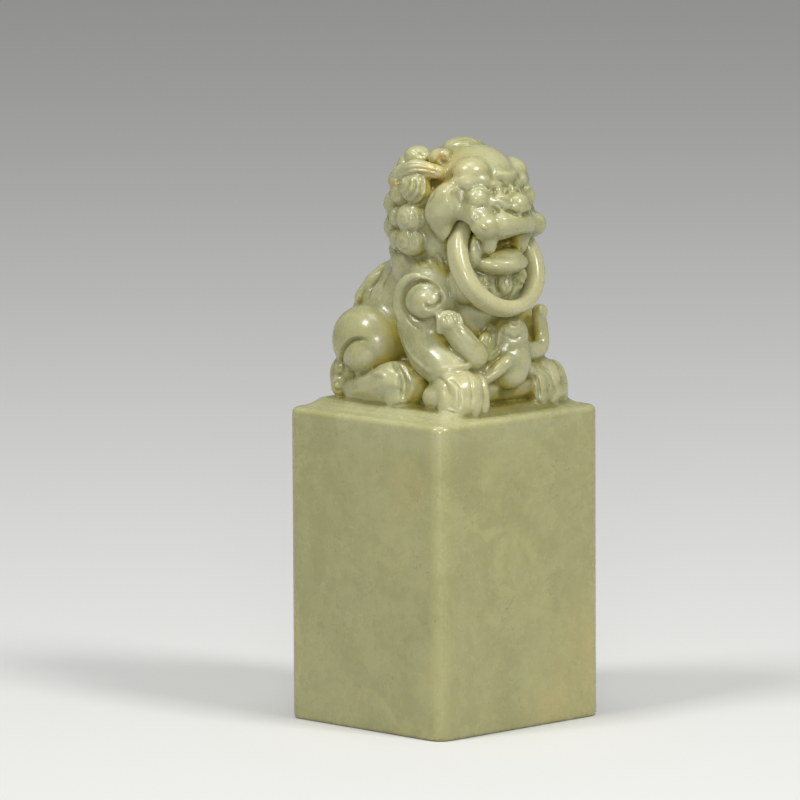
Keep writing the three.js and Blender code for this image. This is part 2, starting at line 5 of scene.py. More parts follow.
import bmesh
import bpy
import numpy as np
from mathutils import Euler, Matrix, Vector
from mathutils.bvhtree import BVHTree
from mathutils.kdtree import KDTree


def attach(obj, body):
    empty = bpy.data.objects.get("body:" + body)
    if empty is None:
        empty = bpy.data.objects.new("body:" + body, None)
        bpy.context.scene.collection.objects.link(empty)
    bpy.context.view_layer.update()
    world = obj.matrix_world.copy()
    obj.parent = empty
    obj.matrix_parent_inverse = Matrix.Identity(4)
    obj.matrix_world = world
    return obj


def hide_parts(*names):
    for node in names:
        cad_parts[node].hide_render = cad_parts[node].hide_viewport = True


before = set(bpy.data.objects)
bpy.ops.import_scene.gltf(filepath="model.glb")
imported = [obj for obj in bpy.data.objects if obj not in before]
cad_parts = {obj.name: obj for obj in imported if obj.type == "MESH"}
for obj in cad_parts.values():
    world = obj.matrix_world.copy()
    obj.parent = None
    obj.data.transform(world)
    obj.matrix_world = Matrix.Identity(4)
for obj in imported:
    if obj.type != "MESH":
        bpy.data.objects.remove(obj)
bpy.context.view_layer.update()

# The carving is worked in millimetres and set to metres at the end.
MM = 0.001
SIDES = (-1, 1)

# Where the photograph was taken from: angles in degrees, and a lens in pixels of the picture.
AZIMUTH = -44.532
ELEVATION = 8.063
CAMERA_ROLL = -0.295
CAMERA_DISTANCE = 1577.79
AIM = Vector((0.0089, 9.5366, 48.034))
FOCAL_PIXELS = 10282.88
IMAGE_PIXELS = 800
SENSOR_WIDTH = 36.0

# The block and the ground that is left on it.
BLOCK_WIDTH = 35.0
BLOCK_DEPTH = 33.4
BLOCK_HEIGHT = 48.2
BLOCK_CORNER = 2.4
RIM_ROUNDING = 1.0
FOOT_CHAMFER = 0.3
GROUND = 49.5
GROUND_SLOPE_X = 7.0
GROUND_SLOPE_Y = 3.8
# The hollow slope in steps: the share of its way inwards, and the share of its rise.
SLOPE_STEPS = ((0.15, 0.03), (0.3, 0.11), (0.45, 0.24), (0.6, 0.42), (0.72, 0.6), (0.84, 0.79),
               (0.95, 0.93), (1.1, 1.0))
CORNER_SEGMENTS = 8
RIM_SEGMENTS = 5

# Ovals that other forms lie on: the middle and the radii of the haunches and of one shoulder.
HAUNCHES = (0, 6.4, 59.9)
HAUNCH_RADII = (9.2, 8.3, 9.8)
SHOULDER = (6.9, -3.9, 64.9)
SHOULDER_RADII = (4.3, 5.4, 6.6)

# The head's forms are given from its centre, and all lean to one side.
HEAD_CENTRE = Vector((0.0, -4.9, 80.4))
HEAD_ROLL = 4.0
HEAD_TURN = 4.0
HEAD_PLACE = (Matrix.Translation(HEAD_CENTRE)
              @ Matrix.Rotation(radians(HEAD_TURN), 4, "Z")
              @ Matrix.Rotation(radians(HEAD_ROLL), 4, "Y"))

# The loose ring hangs from the tongue and leans forward.
RING_HINGE = Vector((0.0, -8.2, 78.0))
RING_RADIUS = 7.64
RING_WALL = 2.6
RING_LENGTH = 3.2
RING_EDGE = 1.0
RING_EDGE_SEGMENTS = 6
RING_TURNS = 128
RING_WORN = 0.4
RING_LEAN = 25.3
RING_SWING = 24.0
RING_GAP = 0.3
WAY_STEPS = 6
WAY_TURNS = 96

# How fine the faces of each skin are, how often it is rubbed soft, and the most triangles that
# the finished stone may have.
ROUGH_VOXEL = 0.45
MOUTH_VOXEL = 0.4
WAY_VOXEL = 0.3
FINE_VOXEL = 0.22
ROUGH_ROUNDS = 8
MOUTH_ROUNDS = 2
FINE_ROUNDS = 2
MOST_TRIANGLES = 192000

# How far apart the places on a smooth line are, in millimetres or, on a line of pixels, in pixels.
ROLL_STEP = 0.35
BEAD_STEP = 0.1
STRAND_STEP = 0.12
PIXEL_STEP = 0.6

# A stroke's depth at its tips, how soon it is full, how much of its width doesn't shrink with
# the depth, and the power that rounds its sides.
TIP_DEPTH = 0.3
RUN_IN = 4
TIP_WIDTH = 0.6
SIDE_POWER = 1.5


def direction(azimuth, elevation):
    """The way out from the seal, by degrees to the side from its front and degrees up."""
    a, e = radians(azimuth), radians(elevation)
    return Vector((sin(a) * cos(e), -cos(a) * cos(e), sin(e)))


def camera_axes():
    """The camera's right, up and backward directions."""
    a, r = radians(AZIMUTH), radians(CAMERA_ROLL)
    back = direction(AZIMUTH, ELEVATION)
    level = Vector((cos(a), sin(a), 0.0))
    above = back.cross(level)
    right = cos(r) * level + sin(r) * above
    up = cos(r) * above - sin(r) * level
    return right, up, back


RIGHT, UP, BACK = camera_axes()
CAMERA_AT = AIM + BACK * CAMERA_DISTANCE


def smooth_line(points, radii, step=ROLL_STEP):
    """Places and radii along a smooth line through the points."""
    knots = [Vector(p) for p in points]
    ends = [2 * knots[0] - knots[1], *knots, 2 * knots[-1] - knots[-2]]
    line = []
    for k in range(len(knots) - 1):
        before, start, end, after = ends[k:k + 4]
        count = max(2, round((end - start).length / step))
        for j in range(count):
            t = j / count
            curve = (2 * start + (end - before) * t
                     + (2 * before - 5 * start + 4 * end - after) * t ** 2
                     + (3 * start - before - 3 * end + after) * t ** 3)
            line.append((curve / 2, radii[k] + (radii[k + 1] - radii[k]) * t))
    line.append((knots[-1], radii[-1]))
    return line


class Clay:
    """Rounded shapes pushed into each other, to be melted into one skin."""

    def __init__(self):
        self.place = Matrix()
        self.lumps = bmesh.new()
        self.rolls = bpy.data.curves.new("rolls", "CURVE")
        self.rolls.dimensions = "3D"
        self.rolls.bevel_depth = 1.0
        self.rolls.bevel_resolution = 3
        self.rolls.use_fill_caps = True

    def ball(self, centre, radii, turn=(0, 0, 0), detail=3):
        """An oval lump, turned by degrees about X, Y and Z."""
        radii = Vector(radii) if isinstance(radii, tuple) else Vector((radii,) * 3)
        turned = Euler([radians(v) for v in turn])
        matrix = self.place @ Matrix.LocRotScale(Vector(centre), turned, radii)
        bmesh.ops.create_icosphere(self.lumps, subdivisions=detail, radius=1.0, matrix=matrix)

    def roll(self, points, radii):
        """A roll with round ends along a smooth line."""
        line = smooth_line(points, radii)
        spline = self.rolls.splines.new("POLY")
        spline.points.add(len(line) - 1)
        for knot, (at, radius) in zip(spline.points, line):
            knot.co = (*(self.place @ at), 1.0)
            knot.radius = radius
        for at, radius in (line[0], line[-1]):
            self.ball(at, radius, detail=2)

    def beads(self, points, radius, count):
        """A row of small lumps along a smooth line."""
        line = smooth_line(points, (radius,) * len(points), BEAD_STEP)
        for k in range(count):
            at = line[round(k * (len(line) - 1) / (count - 1))][0]
            self.ball(at, radius, detail=2)

    def melted(self, name, voxel, rounds):
        """The shapes as one object with an even skin, made softer by rounds of smoothing."""
        tubes = shown(name, self.rolls)
        graph = bpy.context.evaluated_depsgraph_get()
        self.lumps.from_mesh(bpy.data.meshes.new_from_object(tubes.evaluated_get(graph)))
        bpy.data.objects.remove(tubes)
        piece = shown(name, as_mesh(name, self.lumps))
        melt(piece, voxel)
        soften(piece, rounds)
        return piece


def as_mesh(name, shape):
    """A mesh of a shape, which is used up."""
    mesh = bpy.data.meshes.new(name)
    shape.to_mesh(mesh)
    shape.free()
    return mesh


def shown(name, data):
    """An object for a mesh, a curve, a lamp or a camera, in the scene."""
    thing = bpy.data.objects.new(name, data)
    bpy.context.scene.collection.objects.link(thing)
    return thing


def settle(piece):
    """Makes what the piece's modifiers do permanent."""
    graph = bpy.context.evaluated_depsgraph_get()
    shaped = bpy.data.meshes.new_from_object(piece.evaluated_get(graph))
    piece.modifiers.clear()
    piece.data = shaped


def melt(piece, voxel):
    """Gives the piece one closed skin of small even faces."""
    change = piece.modifiers.new("melt", "REMESH")
    change.mode = "VOXEL"
    change.voxel_size = voxel
    settle(piece)


def soften(piece, rounds):
    """Rubs the creases and edges of a skin round."""
    if rounds:
        change = piece.modifiers.new("soften", "SMOOTH")
        change.factor = 0.5
        change.iterations = rounds
        settle(piece)


def cut(piece, tool):
    """Takes the tool's shape out of the piece."""
    change = piece.modifiers.new("cut", "BOOLEAN")
    change.operation = "DIFFERENCE"
    change.solver = "MANIFOLD"
    change.object = tool
    settle(piece)
    bpy.data.objects.remove(tool)


def thin(piece, most):
    """Leaves no more triangles than this, fewest where the skin is flat."""
    piece.data.calc_loop_triangles()
    change = piece.modifiers.new("thin", "DECIMATE")
    change.ratio = min(1.0, most / len(piece.data.loop_triangles))
    settle(piece)


def seen_from_camera(skin, px, py):
    """The place on the skin behind a pixel of the photograph, or None."""
    ray = (RIGHT * ((px - IMAGE_PIXELS / 2) / FOCAL_PIXELS)
           + UP * ((IMAGE_PIXELS / 2 - py) / FOCAL_PIXELS) - BACK).normalized()
    return skin.ray_cast(CAMERA_AT, ray)[0]


# The steps in a turn of a whorl, how far it closes in, and the degrees in a step of an arc.
WHORL_STEPS = 8
WHORL_CLOSES = 0.85
ARC_STEP = 20


def whorl(px, py, radius, turns, start, flat=1.0):
    """A spiral of pixels that winds inwards from a start in degrees."""
    points = []
    count = round(WHORL_STEPS * turns)
    for k in range(count + 1):
        a = radians(start) + tau * turns * k / count
        r = radius * (1 - WHORL_CLOSES * k / count)
        points.append((px + r * cos(a), py + flat * r * sin(a)))
    return points


def arc(px, py, radius, first, last):
    """Part of a circle of pixels, by degrees clockwise from the right."""
    count = round((last - first) / ARC_STEP)
    angles = (radians(first + (last - first) * k / count) for k in range(count + 1))
    return [(px + radius * cos(a), py + radius * sin(a)) for a in angles]


def stroke_places(skin, points):
    """The stroke's places on the skin; pairs are pixels and triples are places nearby."""
    if len(points[0]) == 2:
        line = smooth_line([(x, y, 0) for x, y in points], (1,) * len(points), PIXEL_STEP)
        found = [seen_from_camera(skin, at.x, at.y) for at, _ in line]
        return [at for at in found if at is not None]
    line = smooth_line(points, (1,) * len(points), STRAND_STEP)
    return [skin.find_nearest(at)[0] for at, _ in line]


def mirrored(places, skin, place):
    """The same places on the other side of the middle of the head or the body."""
    flip = place @ Matrix.Diagonal((-1, 1, 1, 1)) @ place.inverted()
    return [skin.find_nearest(flip @ at)[0] for at in places]


def skin_of(mesh):
    """The places and normals of a mesh's corners, and its faces as a skin that rays can meet."""
    places = np.empty(len(mesh.vertices) * 3)
    mesh.vertices.foreach_get("co", places)
    places = places.reshape(-1, 3)
    normals = np.array([n.vector for n in mesh.vertex_normals])
    skin = BVHTree.FromPolygons(places.tolist(), [p.vertices[:] for p in mesh.polygons])
    return places, normals, skin


def carve(piece, strokes):
    """Presses strokes into the skin, tapered at both ends; a negative depth raises a ridge."""
    mesh = piece.data
    count = len(mesh.vertices)
    places, normals, skin = skin_of(mesh)
    tree = KDTree(count)
    for k, at in enumerate(places):
        tree.insert(at, k)
    tree.balance()
    grooves, ridges = np.zeros(count), np.zeros(count)
    for points, half_width, depth, mirror in strokes:
        line = stroke_places(skin, points)
        copies = [line]
        if mirror is not None:
            copies.append(mirrored(line, skin, mirror))
        for copy in copies:
            for j, at in enumerate(copy):
                t = j / max(1, len(copy) - 1)
                taper = min(1.0, TIP_DEPTH + RUN_IN * min(t, 1 - t))
                width = half_width * (TIP_WIDTH + (1 - TIP_WIDTH) * taper)
                for _, k, away in tree.find_range(at, width):
                    press = abs(depth) * taper * (1 - (away / width) ** 2) ** SIDE_POWER
                    if depth > 0:
                        grooves[k] = max(grooves[k], press)
                    else:
                        ridges[k] = max(ridges[k], press)
    places += normals * (ridges - grooves)[:, None]
    mesh.vertices.foreach_set("co", places.ravel())
    mesh.update()


def ring_bmesh(swing=0.0, grow=0.0, turns=RING_TURNS):
    """The ring, swung forward by degrees and made thicker all round."""
    clay = bmesh.new()
    wall, length = RING_WALL + 2 * grow, RING_LENGTH + 2 * grow
    section = Matrix.Translation((RING_RADIUS, 0, 0)) @ Matrix.Diagonal((wall, length, 1, 1))
    bmesh.ops.create_grid(clay, x_segments=1, y_segments=1, size=0.5, matrix=section)
    bmesh.ops.bevel(clay, geom=clay.verts[:], affect="VERTICES", offset=RING_EDGE + grow,
                    segments=RING_EDGE_SEGMENTS, profile=0.5, material=-1)
    bmesh.ops.delete(clay, geom=clay.faces[:], context="FACES_ONLY")
    bmesh.ops.spin(clay, geom=clay.verts[:] + clay.edges[:], cent=(0, 0, 0), axis=(0, 1, 0),
                   angle=tau, steps=turns, use_merge=True)
    # The wall is worn thinner from outside where the ring hangs lowest.
    for v in clay.verts:
        reach = hypot(v.co.x, v.co.z)
        low = max(0.0, -v.co.z / reach) ** 2
        outer = (reach - RING_RADIUS + wall / 2) / wall
        v.co *= 1 - RING_WORN * low * outer / reach
    lean = Matrix.Rotation(-radians(RING_LEAN + swing), 4, "X")
    place = Matrix.Translation(RING_HINGE) @ lean @ Matrix.Translation((0, 0, -RING_RADIUS))
    bmesh.ops.transform(clay, matrix=place, verts=clay.verts)
    bmesh.ops.recalc_face_normals(clay, faces=clay.faces)
    return clay


def ring_way():
    """The room that the ring needs as it swings, as a tool for cutting."""
    whole = bmesh.new()
    for k in range(WAY_STEPS + 1):
        one = ring_bmesh(RING_SWING * k / WAY_STEPS, RING_GAP, WAY_TURNS)
        whole.from_mesh(as_mesh("ring_way", one))
    tool = shown("ring_way", as_mesh("ring_way", whole))
    melt(tool, WAY_VOXEL)
    return tool


def block_bmesh():
    """The block with rounded edges, and a hollow slope up to the ground under the paws."""
    block = bmesh.new()
    size = Matrix.Diagonal((BLOCK_WIDTH, BLOCK_DEPTH, BLOCK_HEIGHT, 1))
    bmesh.ops.create_cube(block, size=1.0, matrix=size)
    bmesh.ops.translate(block, vec=(0, 0, BLOCK_HEIGHT / 2), verts=block.verts)

    def edges_at(test):
        return [e for e in block.edges if test(*(v.co.z for v in e.verts))]

    def round_off(edges, offset, segments):
        bmesh.ops.bevel(block, geom=edges, affect="EDGES", offset=offset, segments=segments,
                        profile=0.5, material=-1)

    middle = BLOCK_HEIGHT / 2
    round_off(edges_at(lambda a, b: min(a, b) < middle < max(a, b)), BLOCK_CORNER, CORNER_SEGMENTS)
    round_off(edges_at(lambda a, b: min(a, b) > middle), RIM_ROUNDING, RIM_SEGMENTS)
    round_off(edges_at(lambda a, b: max(a, b) < middle), FOOT_CHAMFER, 1)
    rim_width, rim_depth = BLOCK_WIDTH - 2 * RIM_ROUNDING, BLOCK_DEPTH - 2 * RIM_ROUNDING
    width, depth, height = rim_width, rim_depth, BLOCK_HEIGHT
    for inward, risen in SLOPE_STEPS:
        top = max(block.faces, key=lambda f: f.calc_center_median().z)
        made = bmesh.ops.extrude_face_region(block, geom=[top])
        bmesh.ops.delete(block, geom=[top], context="FACES_ONLY")
        verts = [v for v in made["geom"] if isinstance(v, bmesh.types.BMVert)]
        new_width = rim_width - GROUND_SLOPE_X * inward
        new_depth = rim_depth - GROUND_SLOPE_Y * inward
        new_height = BLOCK_HEIGHT + (GROUND - BLOCK_HEIGHT) * risen
        bmesh.ops.scale(block, vec=(new_width / width, new_depth / depth, 1), verts=verts)
        bmesh.ops.translate(block, vec=(0, 0, new_height - height), verts=verts)
        width, depth, height = new_width, new_depth, new_height
    return block


def rough_head(clay):
    """The large masses of the head."""
    clay.place = HEAD_PLACE
    clay.ball((0, 0, 0), (7.4, 7.6, 7.0))
    clay.ball((-0.2, -1.5, 2.9), (6.6, 7.1, 5.7))
    clay.ball((0, -5.6, -0.3), (6.2, 4.9, 3.3))
    clay.ball((0, -5.4, 2.0), (5.6, 3.6, 3.0))
    clay.roll([(0, 3.5, -6.0), (0, 3.5, 1.8)], (7.6, 6.3))
    clay.ball((0, 3.3, -3.0), (8.6, 7.9, 8.6))
    # The ridge of the nose, and a cheek on each side that folds down to the corner of the mouth.
    clay.roll([(0.2, -6.2, 2.2), (0.7, -8.9, -0.2)], (1.9, 1.8))
    for side, out in ((-1, 0.0), (1, -0.5)):
        clay.roll([(side * 5.4, -4.9, 0.2), (side * (7.3 + out), -3.3, 0.5),
                   (side * (7.7 + out), -1.9, -2.0), (side * 7.0, -2.3, -5.0)],
                  (2.3, 2.7, 2.7, 1.5))
        clay.roll([(side * 6.6, -4.2, -0.6), (side * 6.1, -6.0, -1.3), (side * 5.2, -7.4, -2.2)],
                  (2.2, 2.1, 1.9))
    clay.place = Matrix()
    for side in SIDES:
        clay.ball((side * 4.6, -4.2, 75.0), (3.6, 3.2, 4.6))


def rough_body(clay):
    """The large masses of the trunk and the limbs."""
    clay.ball((0, -3.8, 64.0), (8.3, 7.6, 10.0))
    clay.ball(HAUNCHES, HAUNCH_RADII)
    clay.ball((0, -0.4, 70.0), (8.6, 8.4, 7.8))
    clay.ball((0, -5.4, 66.8), (7.4, 5.2, 5.6))
    clay.ball((0, 3.8, 66.4), (7.0, 7.0, 6.2))
    clay.ball((5.4, -7.4, 67.6), (3.4, 3.4, 4.4))
    clay.roll([(8.4, -5.4, 64.0), (9.7, -7.2, 60.5), (9.4, -9.0, 57.0)], (2.6, 2.7, 2.8))
    clay.ball((0, 6.0, 52.5), (10.5, 8.5, 5.0))
    out, front, up = SHOULDER
    for side in SIDES:
        clay.ball((side * 8.6, 7.9, 58.2), (4.6, 6.2, 5.7))
        clay.ball((side * out, front, up), SHOULDER_RADII)
        clay.roll([(side * 7.4, -2.7, 62.3), (side * 7.9, -5.6, 57.4), (side * 7.9, -9.4, 54.9),
                   (side * 7.9, -9.4, 50.9)], (4.1, 3.8, 3.3, 3.2))
        clay.ball((side * 9.0, 10.6, 52.6), (2.8, 3.0, 3.4))


def mouth_hollow():
    """The open mouth, through from cheek to cheek."""
    clay = Clay()
    clay.place = HEAD_PLACE
    clay.ball((0, -9.6, -4.5), (6.8, 3.6, 2.8), detail=4)
    return clay.melted("mouth", MOUTH_VOXEL, MOUTH_ROUNDS)


def face(clay):
    """Nose, upper lip, brows, eyes, fangs and ears."""
    clay.place = HEAD_PLACE
    clay.ball((0.8, -9.8, -0.4), (2.1, 1.8, 2.0))
    clay.ball((0.4, -8.6, 1.8), (1.3, 1.0, 1.1))
    clay.roll([(-1.7, -7.9, 4.3), (0, -8.3, 4.0), (1.7, -7.9, 4.3)], (0.6, 0.8, 0.6))
    clay.ball((-1.5, -9.3, -0.8), (1.1, 1.1, 0.9))
    clay.ball((3.0, -9.3, -0.8), (1.1, 1.1, 0.9))
    # The upper lip hangs in two full ends with a thinner middle.
    clay.ball((-3.5, -8.0, -3.5), (3.7, 2.5, 2.4))
    clay.roll([(-4.8, -7.9, -3.3), (-2.4, -9.1, -3.3), (0.6, -9.9, -3.0), (3.6, -9.6, -3.1),
               (5.6, -9.0, -3.4), (6.2, -8.3, -3.5)], (1.6, 2.35, 1.8, 1.6, 2.0, 2.1))
    clay.ball((1.0, -8.4, -1.8), (4.6, 2.3, 1.5))
    for side in SIDES:
        clay.roll([(side * 7.0, -4.0, 2.6), (side * 6.0, -5.5, 3.1), (side * 4.3, -6.9, 3.2)],
                  (1.2, 1.6, 1.3))
        clay.ball((side * 5.35, -7.0, 0.6), (2.0, 1.7, 1.75))
        clay.ball((side * 4.0, -4.7, 4.3), (3.4, 2.9, 2.5))
        clay.ball((side * 2.7, -7.4, 2.5), (1.2, 1.1, 1.1))
        clay.roll([(side * 7.0, -5.9, 1.9), (side * 5.7, -7.9, 2.35), (side * 4.3, -8.5, 1.9)],
                  (0.2, 0.3, 0.2))
        clay.roll([(side * 3.7, -8.3, -4.8), (side * 3.6, -8.2, -6.7)], (1.5, 1.15))
        # The ear is a leaf over a round hair bud.
        clay.ball((side * 7.9, 3.4, 4.0), (1.2, 4.3, 1.7), turn=(-6, 0, -side * 8))
        clay.roll([(side * 7.3, -0.6, 4.2), (side * 8.3, 3.4, 4.5), (side * 8.4, 7.8, 3.1)],
                  (1.1, 1.5, 0.3))
        clay.ball((side * 8.3, 2.9, 1.6), (2.1, 2.6, 2.5))
    clay.place = Matrix()


# The mane stands in columns round an oval: degrees from the side of the head to its back,
# the height of the top curl from the head's centre, how many there are, and their radius.
CURL_COLUMNS = ((-3, -2.5, 2, 2.3), (22, 0.8, 3, 1.6), (46, 2.4, 4, 2.1), (72, 4.2, 4, 2.15))
CURL_PITCH = 3.5
CURL_TILT = 0.03
CURL_SHAPE = (0.88, 1.16, 1.0)
MANE_BACK = 3.5
MANE_HALF_WIDTH = 8.6
MANE_HALF_DEPTH = 7.9
MANE_TAPER = 0.035
# The lowest curls of the columns beyond this angle are smaller, and drawn in to the neck.
NAPE_ANGLE = 40
NAPE_CURL = 0.8
NAPE_DRAW = 0.25

# The spiral on a curl: its steps, its turns, its first angle in radians, and as shares of the
# curl's radius its width, how far it closes in and how far out it lies.
SPIRAL_STEPS = 12
SPIRAL_TURNS = 1.3
SPIRAL_START = 1.2
SPIRAL_WIDTH = 0.66
SPIRAL_CLOSES = 0.75
SPIRAL_OUT = 0.9
# A strand passes three places, given as shares of the radius outwards and upwards.
STRAND_OUT = (0.3, 0.7, 0.6)
STRAND_UP = (0.95, 0.55, -0.3)
STRAND_REACHES = (0.4, 0.65, 0.9)
# The half width and the depth of the strokes.
SPIRAL_CUT = (0.38, 0.14)
STRAND_CUT = (0.3, 0.2)


def curl_places():
    """The middle of each curl of the mane, the way that it faces, and its radius."""
    places = []
    for angle, top, curls, radius in CURL_COLUMNS:
        for k in range(curls):
            up = top - k * CURL_PITCH
            shell = 1 - MANE_TAPER * max(0.0, up)
            small = NAPE_CURL if angle > NAPE_ANGLE and k == curls - 1 else 1.0
            drawn = 1 - NAPE_DRAW + NAPE_DRAW * small
            a = radians(angle)
            for side in SIDES:
                out = Vector((side * cos(a), sin(a), CURL_TILT * up)).normalized()
                oval = Vector((side * MANE_HALF_WIDTH * cos(a), MANE_HALF_DEPTH * sin(a), 0))
                at = HEAD_CENTRE + Vector((0, MANE_BACK, up)) + oval * shell * drawn
                places.append((at, out, radius * small))
    return places


def curl_strokes():
    """A spiral on each curl, with three strands of hair that run down beside it."""
    strokes = []
    for at, out, radius in curl_places():
        hand = 1 if out.x > 0 else -1
        across = Vector((0, 0, 1)).cross(out).normalized() * hand
        above = out.cross(across) * hand
        spiral = []
        for k in range(SPIRAL_STEPS + 1):
            a = tau * SPIRAL_TURNS * k / SPIRAL_STEPS + SPIRAL_START
            r = radius * SPIRAL_WIDTH * (1 - SPIRAL_CLOSES * k / SPIRAL_STEPS)
            aside = across * cos(a) + above * sin(a)
            spiral.append(at + out * radius * SPIRAL_OUT + aside * r)
        strokes.append(([p[:] for p in spiral], *SPIRAL_CUT, None))
        top, bend, end = (at + out * radius * share for share in STRAND_OUT)
        top_up, bend_up, end_up = (above * radius * share for share in STRAND_UP)
        for reach in STRAND_REACHES:
            strand = [top + top_up - across * radius * (1 - reach),
                      bend + bend_up * reach - across * radius * reach,
                      end + end_up - across * radius * reach]
            strokes.append(([p[:] for p in strand], *STRAND_CUT, None))
    return strokes


def mane(clay):
    """Round curls behind the face, and the tuft on the crown."""
    for at, out, radius in curl_places():
        turn = degrees(atan2(out.y, out.x))
        clay.ball(at, tuple(share * radius for share in CURL_SHAPE), turn=(0, 0, turn))
    clay.place = HEAD_PLACE
    clay.ball((0, 0.6, 7.3), (3.5, 3.6, 2.1))
    for side in SIDES:
        clay.ball((side * 4.9, 5.6, 6.0), (2.2, 2.3, 1.8))
        clay.ball((side * 4.4, 1.4, 6.1), (2.0, 2.1, 1.6))
        clay.ball((side * 5.3, 0.0, 6.6), 0.95)
    clay.place = Matrix()


def jaw(clay):
    """The root of the tongue that the ring goes over, the lower jaw, the tongue and the beard."""
    root = (4.6, 3.4, 3.6)
    root_top = RING_HINGE.z - RING_WALL / 2 - RING_GAP
    clay.ball((0, -8.2, root_top - root[2]), root)
    clay.ball((0, -12.2, 71.2), (4.6, 4.1, 1.9))
    clay.ball((-4.1, -10.1, 73.1), (2.0, 2.5, 3.2))
    clay.ball((4.2, -9.9, 73.0), (2.0, 2.6, 3.1))
    clay.roll([(0, -12.5, 71.4), (0, -6.4, 72.0)], (1.9, 3.6))
    clay.ball((0.2, -12.4, 72.5), (3.2, 3.1, 0.9))
    # The beard lies flat on the chest.
    clay.ball((0.2, -10.3, 67.8), (6.2, 3.0, 4.4))
    clay.ball((4.8, -9.8, 67.2), (3.0, 2.8, 4.2))
    clay.ball((-4.8, -9.4, 68.2), (2.6, 2.6, 3.2))
    clay.ball((-3.3, -12.2, 68.2), (1.4, 1.1, 1.5))
    clay.ball((4.4, -12.0, 68.2), (1.5, 1.1, 2.1))
    clay.roll([(0.0, -12.9, 69.4), (0.1, -13.1, 67.6), (0.3, -12.7, 66.0)], (1.2, 1.3, 0.6))


# How far from the middle each fore paw stands. The near one stands closer to it.
PAW_PLACES = ((-1, 7.9), (1, 9.6))


def fore_paw(clay, side, x):
    """A broad foot with three full toes in front, and an outer one further back."""
    clay.ball((side * x, -10.9, GROUND + 2.6), (4.1, 4.1, 3.6))
    clay.ball((side * (x + 0.2), -11.3, GROUND + 1.2), (4.2, 4.0, 2.6))
    clay.ball((side * (x + 0.4), -9.6, GROUND + 1.6), (4.1, 4.3, 2.8))
    for across, front in ((-2.5, -14.7), (-0.3, -15.1), (2.0, -14.6)):
        toe, root = side * (x + across), side * (x + 0.8 * across)
        clay.roll([(root, front + 5.0, GROUND + 4.4), (toe, front + 2.8, GROUND + 4.2),
                   (toe, front + 1.6, GROUND + 2.8), (toe, front + 1.5, GROUND + 0.4)],
                  (1.2, 1.55, 1.5, 1.6))
    clay.roll([(side * (x + 2.4), -9.8, GROUND + 3.2), (side * (x + 2.8), -11.6, GROUND + 2.2),
               (side * (x + 2.9), -11.8, GROUND + 0.4)], (1.3, 1.6, 1.8))


def hind_foot(clay, side):
    """A long foot on the ground, under the tip of the thigh."""
    clay.roll([(side * 10.0, 8.5, 50.6), (side * 10.5, 3.4, 51.7), (side * 10.3, -0.2, 52.9),
               (side * 9.6, -2.6, 52.2)], (2.4, 2.9, 3.3, 2.7))
    clay.roll([(side * 10.4, 8.0, 50.3), (side * 10.6, -1.6, 50.5)], (2.2, 2.6))
    for x, front in ((11.6, -2.6), (9.9, -4.4), (7.9, -5.4)):
        clay.roll([(side * x, front + 3.8, 53.4), (side * x, front + 2.0, 53.0),
                   (side * x, front + 1.4, 50.2)], (1.4, 1.6, 1.6))


# The crescent on a shoulder: its radius and middle, and by degrees round it how thick it is.
CRESCENT_RADIUS = 4.0
CRESCENT_Y = -4.9
CRESCENT_Z = 65.4
CRESCENT_WALL = ((65, 0.25), (95, 0.6), (130, 0.85), (165, 0.95), (200, 0.9), (235, 0.75),
                 (265, 0.5), (290, 0.2))


def crescent_line(side):
    """The middle line of the crescent, on the skin of the shoulder."""
    out, front, up = SHOULDER
    wide, deep, tall = SHOULDER_RADII
    line = []
    for angle, _ in CRESCENT_WALL:
        a = radians(angle)
        y = CRESCENT_Y - CRESCENT_RADIUS * cos(a)
        z = CRESCENT_Z + CRESCENT_RADIUS * sin(a)
        bulge = sqrt(max(0.0, 1 - ((y - front) / deep) ** 2 - ((z - up) / tall) ** 2))
        line.append((side * (out + wide * bulge), y, z))
    return line


def limbs(clay):
    """The shoulders' round bosses with their crescents, the beaded cuffs, the feet and knees."""
    for side, paw in PAW_PLACES:
        clay.ball((side * 9.0, -5.7, 65.2), (2.7, 2.9, 2.9))
        clay.roll(crescent_line(side), tuple(wall for _, wall in CRESCENT_WALL))
        fore_paw(clay, side, paw)
        cuff = [(side * 11.1, -8.0, 55.4), (side * 10.4, -10.8, 55.8), (side * 8.3, -12.3, 56.2),
                (side * 6.4, -12.4, 56.0)]
        clay.beads(cuff, 0.4, 12)
        hind_foot(clay, side)
        # The folded knee stands out under the slit of the thigh and ends in a tip.
        clay.ball((side * 10.4, 6.9, 56.7), (2.9, 3.7, 3.3))
        clay.roll([(side * 10.5, 6.6, 56.0), (side * 10.9, 6.8, 53.4)], (2.6, 1.0))
        # The hair tuft behind the heel.
        clay.ball((side * 9.8, 12.2, 52.6), (1.9, 1.9, 3.0))
        clay.ball((side * 11.0, 11.2, 51.4), (1.6, 1.6, 1.9))
        clay.ball((side * 10.9, 11.0, 53.9), (1.2, 1.3, 1.6))


# The locks on the haunches: how steep each one is in degrees, the places along a lock as degrees
# from there and millimetres out of the skin, and how far aside and back they all point.
LOCK_SLOPES = (28, 44, 60, 76)
LOCK_PLACES = ((18, -0.9), (7, -0.35), (-5, 0.0), (-10, -0.3))
LOCK_ASIDE = 0.71
LOCK_BACK = 0.7

# The strands of the tail go up the back from this angle in degrees. The middle one ends highest.
TAIL_START = -38
TAIL_END = 76
TAIL_END_STEP = 15
TAIL_PITCH = 2.5
TAIL_SUNK = 0.9
TAIL_ROUNDING = 0.045
TAIL_CURL_PITCH = 4.3


